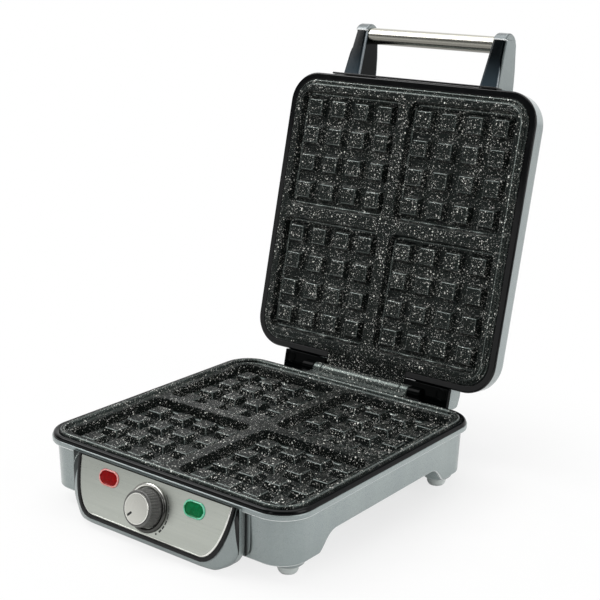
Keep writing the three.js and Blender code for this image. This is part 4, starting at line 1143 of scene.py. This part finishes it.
def make_dial():
    low, high = RING_INNER, RING_OUTER
    ring = turned([
        (low, SEAM), (high, SEAM), (high, RING_HEIGHT - 2.2), (high - 0.2, RING_HEIGHT - 1.4),
        (high - 0.7, RING_HEIGHT - 0.6), (high - 1.4, RING_HEIGHT - 0.15), (high - 2.2, RING_HEIGHT),
        (low + 0.9, RING_HEIGHT - 0.2), (low + 0.3, RING_HEIGHT - 0.6), (low, RING_HEIGHT - 1.2),
    ], (0, KNOB_V), segments=96, closed=True)
    publish(ring, "dial_surround", PANEL, "base", [ring_steel], ["dial_ring"])
    marks = []
    foot, face, radius = 0.55, 0.64, 22.6
    swells = (
        (-36, -44, 1.6), (-25, -33, 1.4), (-12, -22, 1.2), (3, -9, 0.95), (20, 6, 0.7), (42, 23, 0.5))
    for start, end, width in swells:
        inner = arc(0, KNOB_V, radius - width / 2, start, end, 10)
        outer = arc(0, KNOB_V, radius + width / 2, end, start, 10)
        marks.append(prism(inner + outer, foot, face))
    spot = radians(-53)
    marks.append(rod(0.9, (radius * cos(spot), KNOB_V + radius * sin(spot)), foot, face, segments=24))
    first = join(marks[0], *marks[1:])
    publish(first, "browning_scale", PANEL, "base", [ink_black], [])


def make_side_trim(side, name):
    """The dark inlay that tapers down the control box's flank, and the dark strip beside it on the wall:
    painted shade, dark pieces standing for the shade and dark reflection in the corner.
    """
    wall = -WALL_Y - SEAM
    near, far = CONTROL_HALF + 0.15, CONTROL_HALF + 5.6
    top = -LIP_HEIGHT - CLEARANCE
    strip_outline = [
        (near, top, 0), (near, -44.6, 0), (far - 2.2, -42.2, 2.6), (far - 0.4, -36.5, 5), (far, -30, 5),
        (far, top, 0),
    ]
    strip = prism([(side * x, z) for x, z in rounded(strip_outline)], wall - 0.35, wall, "y")
    bevel(strip, 0.25)
    highest, fall = 13, 29
    rows = []
    for a, b in zip(*flank_lines()):
        start = 1.0
        for share in (step / 100 for step in range(101)):
            if share >= (-flank_point(a, b, share).z - highest) / fall:
                start = share
                break
        if start > 0.98:
            break
        line = [flank_point(a, b, lerp(max(start, 0.02), 1, step / 6)) for step in range(7)]
        line.append(Vector((line[-1].x, FLANK_REAR + 0.3, line[-1].z)))
        rows.append(line)
    mesh = bmesh.new()
    shells = []
    for lift in (0.16, -0.3):
        shells.append([
            [mesh.verts.new((side * (p.x + lift), p.y - lift * 0.4, p.z)) for p in line]
            for line in rows
        ])
    for shell in shells:
        for low, high in zip(shell, shell[1:]):
            for i in range(len(low) - 1):
                mesh.faces.new((low[i], low[i + 1], high[i + 1], high[i]))
    last, wide = len(rows) - 1, len(rows[0])
    border = [(0, i) for i in range(wide)] + [(row, -1) for row in range(1, last + 1)]
    border += [(last, i) for i in range(wide - 2, -1, -1)] + [(row, 0) for row in range(last - 1, 0, -1)]
    for (r0, c0), (r1, c1) in zip(border, border[1:] + border[:1]):
        mesh.faces.new((shells[0][r0][c0], shells[0][r1][c1], shells[1][r1][c1], shells[1][r0][c0]))
    join(strip, store(mesh))
    looks, nodes = [painted_shade_trims[name]], [f"side_trim_{name}"]
    publish(strip, f"painted_shade_strip_{name}", RIM, "base", looks, nodes)


# ---------------------------------------------------------------- lid

# The lid's shoulder: its share of the rise, and how far in from the side it is.
SHOULDER = (
    (0, 0.6), (0.12, 1.6), (0.23, 4.2), (0.39, 9.5), (0.61, 16.5), (0.79, 24), (0.91, 34), (0.98, 50),
    (1, 70),
)


def smooth_shoulder():
    """The shoulder's points with curved stretches between them."""
    steps = 4
    points = [Vector(point) for point in SHOULDER]
    result = [points[0]]
    for i in range(len(points) - 1):
        before = points[max(i - 1, 0)]
        a, b = points[i], points[i + 1]
        after = points[min(i + 2, len(points) - 1)]
        bend = 2 * before - 5 * a + 4 * b - after
        twist = 3 * a - before - 3 * b + after
        for step in range(1, steps + 1):
            t = step / steps
            result.append(0.5 * (2 * a + (b - before) * t + bend * t ** 2 + twist * t ** 3))
    return result


def lid_skin(inset, lift, foot):
    side_top, rise = 22, 28
    rings = [level_ring(inset, foot, CORNER - inset)]
    for share, run in smooth_shoulder():
        rings.append(level_ring(run + inset, side_top + (rise + lift) * share, CORNER - inset))
    return loft(rings)


def ear_outline(inset, radius):
    rear, top, foot = EAR_REAR - inset, 29 - inset, 9.5
    return rounded([
        (HALF_Y - 8, foot, 0), (rear - 0.8, foot, 0), (rear, foot + 10, 0),
        (rear - 1.5, top - 2.2, 4 * radius), (rear - 13, top, 6 * radius), (HALF_Y - 8, top - 1, 0),
    ])


def make_lid_shell():
    wall = 2.6
    shell = lid_skin(0, 0, LID_LIP_TOP + SEAM)
    ears, ways = [], []
    for side, _ in SIDES:
        near, far = span(side, EAR_INNER, EAR_OUTER)
        ears.append(bevel(prism(ear_outline(0, 1), near, far, "x"), 1.4, 4, 32))
        ways.append(prism(ear_outline(wall, 0.6), near + wall, far - wall, "x"))
        ways.append(box(near + wall, far - wall, HALF_Y - 10, EAR_REAR - 1 - wall, LID_LIP_TOP - 1, 11.2))
    gap = BARREL_HALF + CLEARANCE
    join(shell, *ears)
    cut(shell, lid_skin(wall, -wall, LID_LIP_TOP - 1), *ways,
        box(-gap, gap, WALL_Y - 5, 2 * HALF_Y, 0, 9.8))
    publish(shell, "lid_cover", LID, "lid", [silver], ["lid_shell"])


def make_lid_frame():
    ring = rim_sweep(rounded([
        (0, LID_SEAM, 1.6), (0, LID_LIP_TOP, 0.4), (3.5, LID_LIP_TOP, 0.3), (3.5, 14, 0.4), (6.8, 14, 0.3),
        (6.8, LID_SEAM, 0.7),
    ]))
    gap = BARREL_HALF + CLEARANCE
    cut(ring, box(-gap, gap, WALL_Y - 10, 2 * HALF_Y, 0, 9.8))
    publish(ring, "lid_surround", LID, "lid", [gloss_black], ["lid_frame"])


def make_hinge_liner(side, name):
    near, far = span(side, EAR_INNER, EAR_OUTER)
    block = bevel(box(near, far, HALF_Y + CLEARANCE, HALF_Y + 19.7, 4, 12), 0.9)
    boss = bevel(hinge_rod(BARREL_RADIUS, *span(side, EAR_INNER, EAR_INNER + 13.3)), 0.6)
    collar = turned([
        (5.6, 5), (5.6, 3.5), (5.2, 3.1), (4.4, 3.1), (4.1, 3.4), (4.1, 4.2), (2.6, 4.2), (2.6, 3.6),
        (0.4, 3.6),
    ], (side * 89.7, HALF_Y + 6.6))
    rib_near, rib_far = span(side, BARREL_HALF + 0.6, EAR_INNER + 1)
    rib = box(rib_near, rib_far, HALF_Y + CLEARANCE, HALF_Y + 19, 4.2, 9.6)
    cut(rib, hinge_rod(BARREL_RADIUS + 0.5, -REACH, REACH))
    join(block, boss, collar, rib)
    bore = hinge_rod(PIN_BORE, *span(side, 0, EAR_INNER + 11.3))
    cut(block, bore, box(-REACH, REACH, 0, 400, 9.2, 50))
    nodes = [f"hinge_liner_{name}"]
    publish(block, f"hinge_block_{name}", LID, "lid", [deep_black_painted_shade], nodes)


# ---------------------------------------------------------------- handle

ARM_INNER_FOOT, ARM_INNER_TIP = RAIL_HALF - 25, RAIL_HALF - 20.9
ARM_OUTER_FOOT, ARM_OUTER_TIP = RAIL_HALF - 4.7, RAIL_HALF - 8.4
TIP_RADIUS, TIP_Z, CAP_DEPTH = 12, GRIP_Z + 0.5, 8.6
ARM_SKIN, ARM_FRONT, ARM_STEP, ARM_RISE = 3, 16.6, 3, 7.5
TIP_Y = GRIP_Y - TIP_RADIUS
GRIP_HALF = 71.3


def arm_outline():
    back = 50.6
    crest = [
        (-HALF_Y + 30, back - 1), (-HALF_Y + 8, back - 0.2), (-HALF_Y, back), (-HALF_Y - 12, back - 0.1),
        (GRIP_Y + 20, back - 0.8), (GRIP_Y + 9, back - 2.4),
    ]
    foot = [(-HALF_Y, ARM_FRONT), (-HALF_Y + 30, ARM_FRONT)]
    return crest + arc(GRIP_Y, TIP_Z, TIP_RADIUS, 100, 245, 20) + foot


def arm_plan(side, skin, spill=0):
    points = [
        (ARM_INNER_FOOT - spill, 0), (ARM_INNER_FOOT - spill, -HALF_Y), (ARM_INNER_TIP - spill, TIP_Y - 5),
        (ARM_OUTER_TIP - skin, TIP_Y - 5), (ARM_OUTER_FOOT - skin, -HALF_Y), (ARM_OUTER_FOOT - skin, 0),
    ]
    return prism([(side * x, y) for x, y in points], -2 * HALF_Y, 2 * HALF_Y)


def arm_blank(side, skin, width, edge_look=-1):
    body = common(prism(arm_outline(), -REACH, REACH, "x"), arm_plan(side, skin))
    # The bevel's faces take the grey edge look, a painted highlight.
    if edge_look > 0:
        add_looks(body, gloss_black, arm_edge_painted_highlight)
    bevel(body, width, 5, 40, edge_look)
    gap = box(-REACH, REACH, -HALF_Y - RAIL_DEPTH - CLEARANCE, 0, 0, RAIL_TOP + CLEARANCE)
    return cut(body, lid_skin(-CLEARANCE, CLEARANCE, 3), gap)


def make_arm(side, name):
    """A gloss black core that fills the arm's front, and a silver skin behind it with a cap over the tip."""
    cap_end = TIP_Y + CAP_DEPTH
    step = ARM_FRONT + ARM_STEP

    def behind(line, end):
        area = [(50, line), (-HALF_Y, line), (end, line + ARM_RISE), (end, REACH), (50, REACH)]
        return prism(area, -REACH, REACH, "x")

    cap_gap = box(-REACH, REACH, -2 * HALF_Y, cap_end, -200, 200)
    core = arm_blank(side, 0.25, 3, 1)
    cut(core, cut(behind(step, -2 * HALF_Y), arm_plan(side, ARM_SKIN, 9)), cap_gap)

    # The arm's front faces take the black with the painted reflection.
    def choose_core(centre):
        run = (-HALF_Y - centre.y) / (-HALF_Y - cap_end)
        return 2 if centre.z < ARM_FRONT + ARM_RISE * max(run, 0) + 0.35 else None

    looks, nodes = [arm_black, arm_edge_painted_highlight, arm_front_painted_reflection], [f"handle_arm_{name}"]
    publish(core, f"arm_core_{name}", LID, "lid", looks, nodes, choose_core)
    skin = ARM_SKIN - CLEARANCE
    end = cap_end - CLEARANCE
    tip = box(-REACH, REACH, -4 * HALF_Y, end, -400, 400)
    cover = cut(arm_blank(side, 0, 1.8), cut(arm_plan(side, skin, 9), tip))
    line = step + CLEARANCE
    front = prism([
        (50, line), (-HALF_Y, line), (end, line + ARM_RISE), (end, -50), (50, -50),
    ], -REACH, REACH, "x")
    cut(cover, front)
    bevel(cover, 1.3, 2, 55)

    def choose(centre):
        # A near-white strip at the cap's end is a painted highlight.
        if end - 1.35 < centre.y < end - 0.02:
            return 1
        # The cap over the tip takes the darker silver: painted shade.
        out = math.hypot(centre.y - GRIP_Y, centre.z - TIP_Z)
        return 2 if centre.y < end and out > TIP_RADIUS - 1.1 else None

    looks, nodes = [arm_silver_painted_shade, pale_edge_painted_highlight, cap_silver_painted_shade], [f"handle_arm_cover_{name}"]
    publish(cover, f"arm_skin_{name}", LID, "lid", looks, nodes, choose)


def make_grip():
    low, high, edge, bore = -GRIP_HALF, GRIP_HALF, 0.3, 5
    tube = turned([
        (GRIP_RADIUS - edge, low), (GRIP_RADIUS, low + edge), (GRIP_RADIUS, high - edge),
        (GRIP_RADIUS - edge, high), (bore, high), (bore, low),
    ], (GRIP_Y, GRIP_Z), "x", 96, closed=True)
    publish(tube, "grip_tube", LID, "lid", [grip_steel], ["handle_grip"])


def make_rail():
    front = -HALF_Y - RAIL_DEPTH
    rail = bevel(box(-RAIL_HALF, RAIL_HALF, front, -HALF_Y - CLEARANCE, LID_SEAM, RAIL_TOP), 0.7)
    publish(rail, "front_rail", LID, "lid", [gloss_black], ["handle_rail"])


# ---------------------------------------------------------------- inner pieces keep their CAD meshes

def dress(look, *nodes):
    for node in nodes:
        data = frame["nodes"][node].data
        data.materials.clear()
        data.materials.append(look)


def dress_inner_pieces():
    numbers = range(1, 5)
    corners = [f"{end}_{side}" for end in ("front", "rear") for side in ("left", "right")]
    dress(sheath, "lower_element", "upper_element")
    dress(galvanised, "lower_reflector", "upper_reflector", "thermostat_bracket")
    dress(plated, *[f"{level}_plate_screw_{n}" for level in ("lower", "upper") for n in numbers])
    dress(plated, *[f"cover_screw_{corner}" for corner in corners])
    for _, side in SIDES:
        dress(plated, f"control_screw_{side}", f"arm_screw_{side}", f"hinge_pin_{side}")
    dress(plated, "thermostat_shaft", "thermal_fuse")
    dress(ceramic, "terminal_block", "thermostat_body")
    dress(dull_black, "red_lamp", "green_lamp")


# ---------------------------------------------------------------- stage

def make_camera():
    """Looks from the front right, a little above."""
    azimuth, elevation, roll = radians(37.266), radians(15.851), radians(1.086)
    distance = 1.10193
    target = RIM @ Vector((38.304, 0, 125.003))
    back = Vector((sin(azimuth) * cos(elevation), -cos(azimuth) * cos(elevation), sin(elevation)))
    data = bpy.data.cameras.new("camera")
    data.lens = 77.48
    data.sensor_width = 36
    data.clip_start = 0.05
    camera = bpy.data.objects.new("camera", data)
    bpy.context.scene.collection.objects.link(camera)
    turn = (-back).to_track_quat("-Z", "Y").to_matrix().to_4x4() @ Matrix.Rotation(roll, 4, "Z")
    camera.matrix_world = Matrix.Translation(target + back * distance) @ turn
    bpy.context.scene.camera = camera


def make_lamp(name, place, target, width, height, watts):
    """A rectangular lamp at place that faces target."""
    data = bpy.data.lights.new(name, "AREA")
    data.shape = "RECTANGLE"
    data.size, data.size_y, data.energy = width, height, watts
    lamp = bpy.data.objects.new(name, data)
    bpy.context.scene.collection.objects.link(lamp)
    lamp.location = place
    lamp.rotation_euler = (Vector(target) - Vector(place)).to_track_quat("-Z", "Y").to_euler()


def make_floor():
    """A pale floor that keeps the object's shadow near it and fades to plain white further out."""
    look = Look("floor", Roughness=0.9, Specular_IOR_Level=0.1)
    look.set(Base_Color=look.tones(look.noise(60, 2), "e4e4e3", "eaeae9", 0.2))
    white = look.node("Emission", {"Color": (1, 1, 1, 1), "Strength": 1.0})
    away = look.node("VectorMath", {0: look.where}, operation="LENGTH").outputs["Value"]
    fade = look.node("MapRange", {
        "Value": away, "From Min": 0.08, "From Max": 0.4, "To Min": 0.72, "To Max": 1.0,
    }, interpolation_type="SMOOTHSTEP").outputs["Result"]
    ray = look.node("LightPath", {})
    mirrored_share = look.math("MULTIPLY", ray.outputs["Is Glossy Ray"], 0.4)
    seen = look.math("ADD", ray.outputs["Is Camera Ray"], mirrored_share, clamp=True)
    seen = look.math("ADD", seen, ray.outputs["Is Transmission Ray"], clamp=True)
    mixed = look.node("MixShader", {0: look.math("MULTIPLY", seen, fade)})
    look.tree.links.new(look.shader.outputs[0], mixed.inputs[1])
    look.tree.links.new(white.outputs[0], mixed.inputs[2])
    look.tree.links.new(mixed.outputs[0], look.tree.nodes["Material Output"].inputs["Surface"])
    floor = turned([(6, -0.02), (6, 0.0)], segments=96)
    floor.name = "floor"
    floor.data.materials.append(look.material)


def make_world():
    """White where the camera looks. Reflections meet a white studio behind and a dimmer room in front."""
    world = bpy.data.worlds.new("studio")
    bpy.context.scene.world = world
    world.use_nodes = True
    tree = world.node_tree
    tree.nodes.clear()

    def node(kind, inputs, **settings):
        return add_node(tree, kind, inputs, **settings)

    where = node("TexCoord", {}).outputs["Generated"]
    parts = node("SeparateXYZ", {"Vector": where})
    behind = node("MapRange", {
        "Value": parts.outputs["Y"], "From Min": -0.45, "From Max": 0.35, "To Min": 0.16, "To Max": 1.0,
    }, interpolation_type="SMOOTHSTEP").outputs["Result"]
    ray = node("LightPath", {})
    reflected = node("Mix", {0: ray.outputs["Is Glossy Ray"], 2: 0.42, 3: behind}).outputs[0]
    seen = node("Math", {
        0: ray.outputs["Is Camera Ray"], 1: ray.outputs["Is Transmission Ray"],
    }, operation="ADD", use_clamp=True).outputs[0]
    strength = node("Mix", {0: seen, 2: reflected, 3: 1.0}).outputs[0]
    background = node("Background", {"Color": (1, 1, 1, 1), "Strength": strength})
    output = node("OutputWorld", {})
    tree.links.new(background.outputs[0], output.inputs["Surface"])


def make_studio():
    middle = (0, 0, 0.15)
    make_lamp("overhead", (-0.1, 0.1, 1.7), middle, 1.6, 1.6, 15)
    make_lamp("left_key", (-1.05, -0.45, 1.45), middle, 0.9, 0.9, 13.5)
    make_lamp("front_card", (-0.8, -1.35, 0.3), (0, -0.2, 0.05), 1.1, 0.6, 1.35)
    make_lamp("front_strip", (0.15, -2.2, 0.75), middle, 0.25, 1.0, 3)
    make_lamp("right_fill", (1.6, 0.1, 0.8), middle, 0.8, 1.2, 8.5)


def main():
    scene = bpy.context.scene
    scene.view_settings.view_transform = "Standard"
    make_camera()
    make_housing()
    make_bezel()
    make_bottom_cover()
    for sy, end in ((-1, "front"), (1, "rear")):
        for sx, name in SIDES:
            make_foot(sx, sy, f"{end}_{name}")
    make_gland()
    make_lower_plate()
    make_upper_plate()
    make_control_cover()
    make_panel_face()
    make_lens(-1, "red", red_deep, red_pale)
    make_lens(1, "green", green_deep, green_pale)
    make_knob()
    make_dial()
    make_lid_shell()
    make_lid_frame()
    make_grip()
    make_rail()
    for side, name in SIDES:
        make_side_trim(side, name)
        make_hinge_liner(side, name)
        make_arm(side, name)
    dress_inner_pieces()
    make_floor()
    make_world()
    make_studio()


main()
